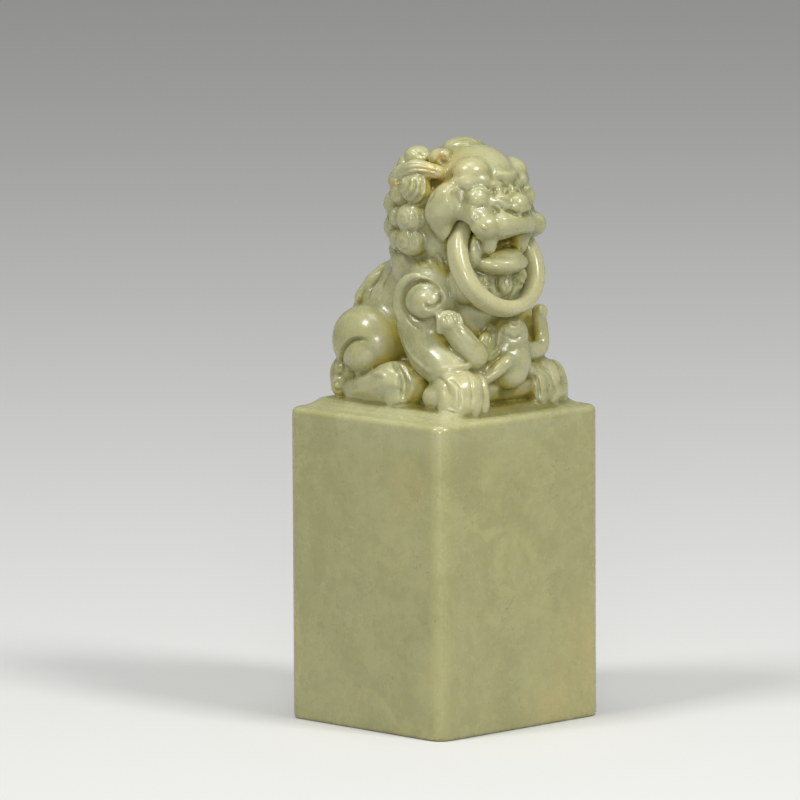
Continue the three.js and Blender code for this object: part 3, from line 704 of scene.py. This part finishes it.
def tail(clay):
    """The tail lies up the back in strands between locks, over a row of curls."""
    wide, deep, tall = HAUNCH_RADII
    for side in SIDES:
        for steep in LOCK_SLOPES:
            lock = []
            for turn, out in LOCK_PLACES:
                rise = radians(steep + turn)
                way = Vector((side * LOCK_ASIDE * cos(rise), LOCK_BACK * cos(rise),
                              sin(rise)))
                reach = Vector((wide ** 2 * way.x, deep ** 2 * way.y, tall ** 2 * way.z))
                lock.append(Vector(HAUNCHES) + reach / sqrt(reach.dot(way)) + way * out)
            clay.roll(lock, (1.1, 1.5, 1.3, 0.6))
    _, back, up = HAUNCHES
    for k in range(-2, 3):
        end = TAIL_END - TAIL_END_STEP * abs(k)
        inward = 1 - TAIL_ROUNDING * abs(k)
        strand = []
        for t in (0.0, 0.25, 0.5, 0.75, 1.0):
            a = radians(TAIL_START + (end - TAIL_START) * t)
            x = TAIL_PITCH * k * sin(pi * (0.15 + 0.5 * t))
            strand.append((x, back + (deep * inward - TAIL_SUNK) * cos(a),
                           up + (tall * inward - TAIL_SUNK) * sin(a)))
        clay.roll(strand, (1.3, 1.6, 1.7, 1.3, 0.3))
    for k in range(5):
        x = (k - 2) * TAIL_CURL_PITCH
        clay.ball((x, 12.9 - 0.06 * abs(x), GROUND + 3.3), (2.3, 1.9, 2.8))


def cub(clay):
    """The cub leans back against the chest, looks up and holds on to both forelegs."""
    clay.ball((2.2, -12.0, 59.9), (3.1, 2.8, 3.0))
    clay.ball((1.7, -13.3, 60.9), (2.3, 1.5, 1.6))
    clay.ball((1.7, -13.8, 59.4), (1.9, 1.1, 1.4))
    clay.ball((-0.8, -11.2, 60.0), (1.1, 1.2, 1.8), turn=(0, -12, 0))
    clay.ball((5.1, -11.2, 60.2), (0.9, 1.1, 1.6), turn=(0, 12, 0))
    clay.ball((2.1, -12.1, 57.8), (3.5, 2.8, 3.2))
    clay.ball((2.0, -12.6, 55.9), (3.2, 3.0, 3.6))
    clay.ball((1.3, -13.0, 54.4), (2.8, 2.7, 2.6))
    clay.roll([(0.2, -12.2, 57.6), (-3.2, -12.3, 57.3)], (1.2, 1.3))
    clay.ball((-2.2, -11.5, 58.6), (1.7, 1.3, 2.2))
    clay.ball((-1.8, -12.0, 56.0), (1.9, 1.5, 2.4))
    clay.roll([(-5.3, -12.1, 57.5), (-6.9, -11.0, 59.9), (-8.3, -9.8, 62.2)], (2.15, 2.0, 1.8))
    clay.roll([(3.6, -12.2, 57.8), (6.2, -12.4, 57.1), (8.7, -12.1, 57.4), (9.4, -11.7, 59.4),
               (9.1, -11.5, 62.0)], (1.7, 1.5, 1.35, 1.2, 1.15))
    clay.ball((-8.5, -9.7, 62.5), (2.1, 1.6, 1.5), turn=(0, 15, 40))
    clay.ball((9.2, -11.6, 62.8), (1.3, 1.2, 1.2))
    # The fingers of the near hand over the top of the foreleg.
    for k in range(5):
        near = Vector((-9.8 + 0.56 * k, -9.1 - 0.53 * k, 62.0 - 0.14 * (k - 2) ** 2))
        clay.roll([near, near + Vector((-0.1, -0.1, 1.3)), near + Vector((0.1, 0.4, 2.2))],
                  (0.6, 0.55, 0.5))
    for k in range(3):
        clay.ball((8.5 + 0.6 * k, -12.4 + 0.5 * k, 63.3), (0.5, 0.5, 0.6))
    clay.roll([(0.2, -13.9, 56.6), (-1.0, -14.2, 56.0), (-2.4, -13.8, 54.9), (-3.7, -12.8, 53.8)],
              (1.2, 1.15, 1.05, 0.95))
    clay.roll([(3.0, -13.6, 55.8), (4.6, -13.4, 54.6), (6.2, -12.8, 53.6)], (1.1, 1.1, 1.0))
    # The stone that is left between the forelegs, behind the cub.
    clay.roll([(-4.6, -10.6, 52.4), (0.8, -9.6, 52.0), (6.0, -10.4, 52.4)], (3.0, 2.8, 3.0))
    clay.ball((-3.4, -11.2, 54.6), (2.2, 2.0, 2.6))


def whole_stone():
    """Block, lion and cub as one carved stone."""
    rough = Clay()
    rough_head(rough)
    rough_body(rough)
    masses = rough.melted("masses", ROUGH_VOXEL, ROUGH_ROUNDS)
    cut(masses, mouth_hollow())
    fine = Clay()
    fine.lumps.from_mesh(masses.data)
    bpy.data.objects.remove(masses)
    fine.lumps.from_mesh(as_mesh("block", block_bmesh()))
    for make in (face, mane, jaw, limbs, tail, cub):
        make(fine)
    carving = fine.melted("carved_stone", FINE_VOXEL, 0)
    cut(carving, ring_way())
    melt(carving, FINE_VOXEL)
    soften(carving, FINE_ROUNDS)
    return carving


# Strokes on the side that the photograph shows: their half width and depth in millimetres, and
# their lines in the photograph's pixels. Those of the head and the body are mirrored too.
HEAD_STROKES = (
    # The lids of the eye, the valley behind it and its inner corner.
    (0.35, 0.12, [[(466, 196), (469, 190), (475, 187), (483, 187), (489, 191)]]),
    (0.4, 0.1, [[(466, 200), (471, 206), (478, 207.5), (487, 203)]]),
    (1.8, 0.6, [[(455, 191), (460, 201), (461.5, 211), (459, 220)]]),
    (0.7, 0.35, [[(494, 188), (496, 192), (495, 197)]]),
    # The rim of the lower jaw.
    (0.4, -0.22, [[(496, 247.5), (503, 244), (511, 243), (518, 245.5)]]),
    (0.4, 0.15, [[(497, 251), (504, 247.5), (512, 246.5), (518, 248.5)]]),
    # The wrinkles and the small curl at the root of the nose, and the creases beside it.
    (0.3, 0.2, [[(500, 198), (505, 200), (510, 204)], [(498, 179), (503, 182), (506, 186)]]),
    (0.4, 0.3, [whorl(506, 190, 5.0, 1.3, 200)]),
    (0.35, 0.28, [[(491, 206), (496, 208), (500, 212.5)], [(495, 203), (500, 205), (504, 209.5)]]),
    (0.45, 0.4, [[(505, 209.5), (512, 212), (519.5, 216.5)]]),
    # Two raised hairs on the lip.
    (0.3, -0.18, [[(471, 215.5), (473, 219), (476, 222)], [(481, 225), (484, 227.5), (487, 229.5)]]),
    # The ear, and the hair bud under it.
    (0.4, 0.25, [[(396, 174.5), (404, 170), (416, 168), (430, 170), (440, 174)]]),
    (0.35, 0.2, [
        [(402, 177), (413, 173.5), (425, 173.5), (438, 176.5)],
        [(401, 168), (411, 164), (425, 165), (436, 169)]]),
    (0.4, 0.25, [
        [(433, 181), (434, 190), (431, 199), (425, 205)],
        [(427, 180), (428, 189), (425, 198), (419, 204)],
        [(421, 179), (422, 187), (419, 196), (413, 202)],
        [(415, 179), (415, 186), (412, 194), (406, 199)],
        [(409, 180), (408, 186), (404, 193), (399, 196)], [(397, 178), (398, 185), (394, 192)]]),
    (0.5, -0.2, [
        [(403, 179), (403, 184)], [(411, 188), (411, 190)], [(418, 183), (418, 185)],
        [(417, 191), (416, 193)], [(424, 192), (423, 194)], [(405, 190), (404, 192)]]),
    # The curls above the ear and the tuft on the crown.
    (0.4, 0.3, [whorl(443, 158.5, 4.0, 1.5, 0)]),
    (0.35, 0.25, [[(447, 150), (441, 153), (436, 160), (434, 168)]]),
    (0.35, 0.22, [
        [(452, 150), (450, 158), (445, 166)], [(431, 150), (429, 157), (431, 164)],
        [(412, 150), (418, 153), (424, 158)]]),
    (0.35, 0.18, [[(458, 140), (468, 139), (478, 143)], [(453, 145), (465, 145), (478, 148)]]),
    # The beard.
    (0.4, 0.35, [
        whorl(488.6, 284, 4.6, 1.4, 250), whorl(522.5, 281, 5.0, 1.4, 200, 1.4),
        [(497, 277), (497, 286), (500, 294)]]),
    (0.35, 0.25, [[(506, 276), (506, 285), (507, 294)]]),
    (0.4, 0.35, [[(515, 276), (515.5, 286), (511, 296)]]),
)
BODY_STROKES = (
    # The boss, the crescent round it and the hair between them and the neck.
    (0.45, 0.45, [arc(423.2, 300.8, 19.5, 60, 330)]),
    (0.5, 0.4, [[(441, 292), (441.5, 299), (436, 305.5), (428, 307), (424.5, 303)]]),
    (0.4, 0.25, [[(421, 276.5), (409, 284), (403.5, 296), (404, 310), (410, 322), (419, 329)]]),
    (0.3, 0.15, [[(405, 283), (412, 277), (423, 274), (433, 276)]]),
    (0.3, 0.12, [[(408, 273), (418, 268), (430, 267)]]),
    (0.3, 0.15, [
        [(420, 259), (428, 263), (433, 270)], [(428, 256), (436, 260), (441, 268)],
        [(436, 253), (443, 258), (446, 266)], [(411, 256), (418, 262), (421, 268)]]),
    (0.3, 0.12, [[(446, 284), (449, 292), (449, 301)], [(451, 280), (455, 289), (456, 299)]]),
    # The slit of the thigh, the hind toes, the hair of the back and the edge of the foreleg.
    (0.55, 0.6, [[(343.5, 370), (341, 360), (343, 349), (350, 341.5), (358, 339), (366, 339.5)]]),
    (0.5, 0.3, [
        [(393, 361), (398, 372), (400, 384), (400, 396)],
        [(398, 362), (405, 372), (408, 384), (408, 397)]]),
    (0.5, -0.2, [[(372, 374), (379, 373), (385, 377)]]),
    (0.5, 0.3, [
        [(392, 267), (386, 278), (381, 289)], [(378, 280), (371, 289), (368, 300)],
        [(366, 287), (361, 296), (359, 306)]]),
    (0.45, -0.2, [[(402, 335), (408, 350), (417, 361.5), (427, 370)]]),
    # The toes of the fore paw.
    (0.35, 0.25, [
        [(448, 379), (456, 384), (460, 393), (460, 408)],
        [(467, 374), (471, 381), (472, 392), (472, 408)],
        [(477, 373), (482, 380), (484, 392), (484, 406)]]),
    (0.35, 0.15, [[(438, 376), (446, 384), (449, 396)]]),
    # The tuft behind the heel.
    (0.35, 0.3, [whorl(338, 372, 5, 1.3, 200)]),
    (0.4, 0.3, [whorl(337, 385, 6, 1.4, 20)]),
)
CUB_STROKES = (
    # The nose, the mouth and the cheek with its hair.
    (0.35, -0.28, [[(510, 320), (518, 319.5), (518.5, 326.5), (510.5, 327), (510, 320)]]),
    (0.45, 0.35, [[(514, 322.5), (514.5, 324.5)], [(508, 336.5), (514, 339.5), (521, 336)]]),
    (0.4, -0.25, [[(503, 325), (499, 334), (498, 343)]]),
    (0.25, 0.18, [[(496, 328), (493, 335), (492, 342)], [(493, 328), (490, 336), (489, 343)]]),
    # The hair of the chest, the near arm and its fingers.
    (0.3, 0.2, [[(497, 345), (494, 350), (489, 353)], [(500, 348), (497, 353), (491, 357)]]),
    (0.45, -0.2, [[(461, 326), (467, 336), (475, 344)]]),
    (0.3, 0.2, [
        [(443.5, 314), (446, 323)], [(448, 313), (450.5, 322)], [(452.5, 313), (455, 321)],
        [(457, 314), (459.5, 321)], [(503, 352), (499, 358), (493, 361)]]),
)


def all_strokes():
    """Every stroke, with the place whose middle plane mirrors it, or None."""
    strokes = []
    for groups, mirror in ((HEAD_STROKES, HEAD_PLACE), (BODY_STROKES, Matrix()), (CUB_STROKES, None)):
        for width, depth, lines in groups:
            strokes += [(points, width, depth, mirror) for points in lines]
    return strokes + curl_strokes()


stone = whole_stone()
carve(stone, all_strokes())
thin(stone, MOST_TRIANGLES)
ring = shown("loose_ring", as_mesh("loose_ring", ring_bmesh()))


# How far off the rubbed skin lies at a full hollow, in millimetres, after these rounds.
HOLLOW_DEPTH = 0.28
HOLLOW_ROUNDS = 50
# A place is sheltered where stone shuts its ways out within this reach in millimetres. The ways
# are spread over a ball by a steady turn in radians, and start just off the skin.
SHELTER_REACH = 13
SHELTER_WAYS = 26
SHELTER_TURN = 2.4
SHELTER_POLE = 0.96
SHELTER_START = 0.15
SHELTER_LEAST = 0.1
# How often the two notes themselves are rubbed even.
HOLLOW_BLUR = 2
SHELTER_BLUR = 4


def mark_hollows(piece):
    """Notes on the skin how hollow and how sheltered it is.

    Hollow goes from 1 in the deepest creases to -1 on the ridges, and sheltered from 0 to 1.
    """
    mesh = piece.data
    count = len(mesh.vertices)
    places, normals, skin = skin_of(mesh)
    ends = np.empty(len(mesh.edges) * 2, dtype=np.int64)
    mesh.edges.foreach_get("vertices", ends)
    first, second = ends[0::2], ends[1::2]
    number = np.bincount(ends, minlength=count)[:, None]

    def rubbed(values, rounds):
        for _ in range(rounds):
            total = np.empty_like(values)
            for axis in range(values.shape[1]):
                total[:, axis] = (np.bincount(first, values[second, axis], minlength=count)
                                  + np.bincount(second, values[first, axis], minlength=count))
            values = 0.5 * values + 0.5 * total / number
        return values

    depth = ((rubbed(places, HOLLOW_ROUNDS) - places) * normals).sum(axis=1)[:, None]
    depth = rubbed(depth, HOLLOW_BLUR)[:, 0] / (HOLLOW_DEPTH * MM)
    note = mesh.attributes.new("hollow", "FLOAT", "POINT")
    note.data.foreach_set("value", np.clip(depth, -1, 1))

    ways = []
    for k, up in enumerate(np.linspace(-SHELTER_POLE, SHELTER_POLE, SHELTER_WAYS)):
        a, level = SHELTER_TURN * k, sqrt(1 - up * up)
        ways.append(Vector((cos(a) * level, sin(a) * level, up)))
    facing = normals @ np.array(ways).T
    shut = np.zeros((count, 1))
    for k in range(count):
        start = Vector(places[k]) + Vector(normals[k]) * (SHELTER_START * MM)
        for j, way in enumerate(ways):
            if facing[k, j] <= SHELTER_LEAST:
                continue
            if skin.ray_cast(start, way, SHELTER_REACH * MM)[0] is not None:
                shut[k] += facing[k, j]
    shut /= np.clip(facing, 0, 1).sum(axis=1)[:, None]
    note = mesh.attributes.new("sheltered", "FLOAT", "POINT")
    note.data.foreach_set("value", np.clip(rubbed(shut, SHELTER_BLUR)[:, 0], 0, 1))


class Output:
    """What a node gives. An expression with it adds Math nodes."""

    def __init__(self, finish, socket):
        self.finish, self.socket = finish, socket

    def worked(self, operation, first, second):
        return self.finish.node("ShaderNodeMath", {"operation": operation}, {0: first, 1: second})

    def __add__(self, other):
        return self.worked("ADD", self, other)

    def __sub__(self, other):
        return self.worked("SUBTRACT", self, other)

    def __rsub__(self, other):
        return self.worked("SUBTRACT", other, self)

    def __mul__(self, other):
        return self.worked("MULTIPLY", self, other)

    __radd__ = __add__
    __rmul__ = __mul__


class Finish:
    """A material whose nodes are added one at a time.

    The offset in millimetres moves its clouds, so that two pieces don't show the same ones.
    """

    def __init__(self, name, offset=(0, 0, 0)):
        self.offset = Vector(offset) * MM
        self.material = bpy.data.materials.new(name)
        self.material.use_nodes = True
        self.tree = self.material.node_tree
        self.shader = self.tree.nodes["Principled BSDF"]
        self.place = self.node("ShaderNodeTexCoord", {}, {}, "Object")

    def node(self, kind, settings, inputs, output=0):
        """Adds a node, sets it and links its sockets, and gives one of its outputs."""
        made = self.tree.nodes.new(kind)
        for name, value in settings.items():
            setattr(made, name, value)
        for name, value in inputs.items():
            self.give(made.inputs[name], value)
        return Output(self, made.outputs[output])

    def give(self, socket, value):
        """Links a value to a socket, or sets it there."""
        if isinstance(value, Output):
            self.tree.links.new(value.socket, socket)
        else:
            socket.default_value = value

    def feed(self, name, value):
        """Links a value to the shader, or sets it there."""
        self.give(self.shader.inputs[name], value)

    def noise(self, scale, detail, moved=(0, 0, 0), distortion=0.0, roughness=0.55):
        """Clouds whose size in metres is about one over the scale, moved by metres."""
        place = self.node("ShaderNodeMapping", {},
                          {"Vector": self.place, "Location": self.offset + Vector(moved)})
        return self.node("ShaderNodeTexNoise", {},
                         {"Vector": place, "Scale": scale, "Detail": detail,
                          "Roughness": roughness, "Distortion": distortion})

    def noted(self, name):
        """What a note on the skin says."""
        return self.node("ShaderNodeAttribute", {"attribute_name": name}, {}, "Fac")

    def between(self, value, low, high):
        """0 up to the low value, 1 from the high one, and smooth between them."""
        return self.node("ShaderNodeMapRange", {"interpolation_type": "SMOOTHSTEP"},
                         {"Value": value, "From Min": low, "From Max": high})

    def mix(self, share, first, second, blend="MIX"):
        """One colour going over into another."""
        return self.node("ShaderNodeMix", {"data_type": "RGBA", "blend_type": blend},
                         {0: share, 6: first, 7: second}, 2)

    def near(self, place, full, gone):
        """1 within a distance of a place in millimetres, and 0 beyond another."""
        away = self.node("ShaderNodeVectorMath", {"operation": "DISTANCE"},
                         {0: self.place, 1: Vector(place) * MM}, "Value")
        return 1 - self.between(away, full * MM, gone * MM)


# The colours of the stone, of the painted shade in creases and of the painted light in sheltered
# places.
OLIVE = (0.30, 0.305, 0.118, 1)
CELADON = (0.42, 0.422, 0.235, 1)
SPECK = (0.19, 0.20, 0.075, 1)
MILK = (0.60, 0.565, 0.31, 1)
HONEY = (0.52, 0.40, 0.10, 1)
RUST = (0.46, 0.25, 0.05, 1)
SHADOW = (0.2, 0.175, 0.03, 1)
PAINTED_BOUNCE = (0.47, 0.40, 0.065, 1)
# Painted shade on the block's sides, full up to one height in millimetres and gone from the other.
PAINTED_BLOCK_SHADE = (0.82, 0.81, 0.49, 1)
PAINTED_BLOCK_SHADE_FULL = 42
PAINTED_BLOCK_SHADE_GONE = 51

# Strength in the colour of each mark and of the painted light and shade, and the least warmth, 0 to
# 1.
SPECKS_SHOW = 0.85
VEINS_SHOW = 0.45
BANDS_SHOW = 0.3
PAINTED_BOUNCE_SHOWS = 0.85
CREASES_SHOW = 0.75
RIDGE_HIGHLIGHT_SHOWS = 0.35
RING_PAINTED_LIGHT = 0.75
LEAST_WARMTH = 0.35

# The pale bands run up through the block from one corner: how they lean, in radians, and how
# they are drawn out.
BAND_LEAN = (0.5, -0.65, 0.2)
BAND_STRETCH = (1, 1, 0.22)

# The light that bleeds through the stone: its share, its colour, and its reach in millimetres.
BLEED = 0.35
BLEED_COLOUR = (1.0, 0.9, 0.45)
BLEED_REACH = 2.5
# The height of the bumps in millimetres.
BUMP_HEIGHT = 0.2

# Where the warm skin of the raw stone still shows, and where it is palest: the place, how far
# the colour is full and where it ends, in millimetres, and how strong it is.
RUST_SPOTS = (((-7.0, -6.5, 83.6), 0.8, 3.2, 0.9), ((-9.0, 3.2, 82.4), 0.5, 2.8, 0.8),
              ((-6.0, -5.0, 87.6), 0.2, 2.0, 0.5), ((5.0, -11.5, 51.8), 1.0, 3.5, 0.5))
HONEY_SPOTS = (((-7.3, -5.4, 85.4), 0.8, 3.4, 0.9), ((-5.5, -8.0, 86.0), 1.0, 6.0, 0.6),
               ((17.5, -16.0, 9.0), 3.0, 15.0, 0.55), ((-16.5, -10.0, 38.0), 1.0, 6.0, 0.55),
               ((6.0, -17.0, 3.0), 1.0, 8.0, 0.55))
PALE_SPOTS = (((0, -10.0, 88.0), 2.0, 17.0, 0.12), ((-8.0, -13.0, 52.0), 2.0, 8.0, 0.75))


def soapstone(name, offset, carved):
    """Polished stone: olive and pale clouds, dark specks, milky veins and warm spots."""
    finish = Finish(name, offset)
    noise, between, mix = finish.noise, finish.between, finish.mix
    clouds = noise(85, 4, distortion=0.7, roughness=0.6)
    mottle = noise(420, 3, (0.3, 0, 0))
    grain = noise(1500, 2, (0, 0.2, 0))
    colour = mix(between(0.55 * clouds + 0.3 * mottle + 0.15 * grain, 0.4, 0.59), OLIVE, CELADON)
    patches = noise(120, 2, (0.1, 0.4, 0))
    specks = between(noise(2300, 1), 0.60, 0.70) * between(patches, 0.42, 0.62)
    colour = mix(SPECKS_SHOW * specks, colour, SPECK)
    ridge = noise(40, 6, (0.2, 0.6, 0.1), distortion=0.5, roughness=0.6)
    veins = between(ridge, 0.47, 0.495) * (1 - between(ridge, 0.505, 0.53))
    wisps = between(noise(60, 3, (0.5, 0.5, 0)), 0.45, 0.65)
    flecks = between(noise(900, 2, (0.7, 0, 0.2)), 0.62, 0.74)
    colour = mix(VEINS_SHOW * veins * wisps + VEINS_SHOW * flecks * wisps, colour, MILK)
    slanted = finish.node("ShaderNodeMapping", {},
                          {"Vector": finish.place, "Rotation": BAND_LEAN, "Scale": BAND_STRETCH})
    bands = finish.node("ShaderNodeTexNoise", {},
                        {"Vector": slanted, "Scale": 330, "Detail": 3, "Distortion": 0.5})
    colour = mix(BANDS_SHOW * between(bands, 0.5, 0.68), colour, CELADON)
    waves = noise(260, 2, (0.2, 0.2, 0.2))
    bumps = 0.7 * waves + 0.12 * grain - 0.18 * specks
    if carved:
        # Painted shade: the block below its top is darkened and yellowed.
        level = finish.node("ShaderNodeSeparateXYZ", {}, {"Vector": finish.place}, "Z")
        below = 1 - between(level, PAINTED_BLOCK_SHADE_FULL * MM, PAINTED_BLOCK_SHADE_GONE * MM)
        colour = mix(below, colour, PAINTED_BLOCK_SHADE, "MULTIPLY")
        # Painted bounce light: sheltered places are tinted a brighter, warmer olive.
        colour = mix(PAINTED_BOUNCE_SHOWS * between(finish.noted("sheltered"), 0.2, 0.65), colour, PAINTED_BOUNCE)
        for place, full, gone, most in PALE_SPOTS:
            colour = mix(most * finish.near(place, full, gone), colour, MILK)
        warmth = between(noise(200, 3, (0, 0.9, 0.1)), 0.35, 0.68)
        warmth = LEAST_WARMTH + (1 - LEAST_WARMTH) * warmth
        for tint, spots in ((HONEY, HONEY_SPOTS), (RUST, RUST_SPOTS)):
            for place, full, gone, most in spots:
                colour = mix(most * finish.near(place, full, gone) * warmth, colour, tint)
        hollow = finish.noted("hollow")
        colour = mix(CREASES_SHOW * between(hollow, 0.02, 0.8), colour, SHADOW)
        # Painted highlight: the ridges are paled towards milky white.
        colour = mix(RIDGE_HIGHLIGHT_SHOWS * between(hollow * -1, 0.1, 0.8), colour, MILK)
        # The tool has left its marks where the polishing doesn't reach.
        marks = noise(1500, 3, (0.6, 0.1, 0), distortion=1.2)
        bumps = bumps + 1.6 * marks * between(hollow, -0.05, 0.5)
    else:
        # Painted light: the ring is made paler than the carved stone.
        colour = mix(RING_PAINTED_LIGHT, colour, MILK)
    finish.feed("Base Color", colour)
    finish.feed("Roughness", 0.2 + 0.14 * mottle + 0.1 * specks)
    finish.feed("Normal", finish.node("ShaderNodeBump", {},
                                      {"Height": bumps, "Strength": 0.25,
                                       "Distance": BUMP_HEIGHT * MM}))
    finish.feed("Subsurface Weight", BLEED)
    finish.feed("Subsurface Radius", BLEED_COLOUR)
    finish.feed("Subsurface Scale", BLEED_REACH * MM)
    finish.feed("Specular IOR Level", 0.6)
    finish.feed("Coat Weight", 0.25)
    finish.feed("Coat Roughness", 0.08)
    return finish.material


for piece in (stone, ring):
    piece.data.transform(Matrix.Scale(MM, 4))
    piece.data.shade_smooth()
    piece.data.materials.clear()

mark_hollows(stone)
stone.data.materials.append(soapstone("carved_stone", (0, 0, 0), carved=True))
ring.data.materials.append(soapstone("loose_ring", (130, 40, 0), carved=False))

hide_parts("seal_block", "lion_body", "lion_head", "lion_cub")
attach(stone, "stone")
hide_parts("mouth_ring")
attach(ring, "ring")

# The studio. The floor is pale where it is seen, and throws only a little of its light back on
# the stone.
FLOOR_HALF = 4.0
FLOOR_SEEN = (0.78, 0.78, 0.76, 1)
FLOOR_LIT = (0.38, 0.38, 0.37, 1)

floor_shape = bmesh.new()
bmesh.ops.create_grid(floor_shape, x_segments=1, y_segments=1, size=FLOOR_HALF)
floor = shown("floor", as_mesh("floor", floor_shape))
paper = Finish("pale_floor")
seen = sum(paper.node("ShaderNodeLightPath", {}, {}, ray)
           for ray in ("Is Camera Ray", "Is Glossy Ray", "Is Transmission Ray"))
paper.feed("Base Color", paper.mix(seen, FLOOR_LIT, FLOOR_SEEN))
paper.feed("Roughness", 0.7)
floor.data.materials.append(paper.material)

# The lamps look at this place. Each has its angles in degrees, and its distance, its size and
# its power.
LAMP_AIM = Vector((0, 0, 0.05))
LAMPS = (("left", AZIMUTH - 52, 54, 0.9, 0.2, 3.1),
         ("right", AZIMUTH + 50, 45, 0.9, 0.2, 3.7),
         ("front", AZIMUTH, 12, 1.2, 0.25, 3.7),
         ("top", AZIMUTH, 86, 0.8, 0.4, 1.6))


def softbox(name, azimuth, elevation, distance, size, power):
    """A square lamp that looks at the lion."""
    lamp = bpy.data.lights.new(name, "AREA")
    lamp.shape = "SQUARE"
    lamp.size = size
    lamp.energy = power
    holder = shown(name, lamp)
    away = direction(azimuth, elevation)
    holder.location = LAMP_AIM + away * distance
    holder.rotation_euler = away.to_track_quat("Z", "Y").to_euler()


for lamp in LAMPS:
    softbox(*lamp)

world = bpy.data.worlds.new("studio")
bpy.context.scene.world = world
world.use_nodes = True
air = world.node_tree.nodes["Background"]
air.inputs["Color"].default_value = (0.8, 0.8, 0.8, 1)
air.inputs["Strength"].default_value = 0.3

camera = bpy.data.cameras.new("camera")
camera.sensor_width = SENSOR_WIDTH
camera.lens = FOCAL_PIXELS / IMAGE_PIXELS * SENSOR_WIDTH
camera.clip_end = 20.0
viewer = shown("camera", camera)
viewer.matrix_world = (Matrix.Translation(CAMERA_AT * MM)
                       @ Matrix((RIGHT, UP, BACK)).transposed().to_4x4())
bpy.context.scene.camera = viewer
bpy.context.scene.view_settings.view_transform = "Standard"
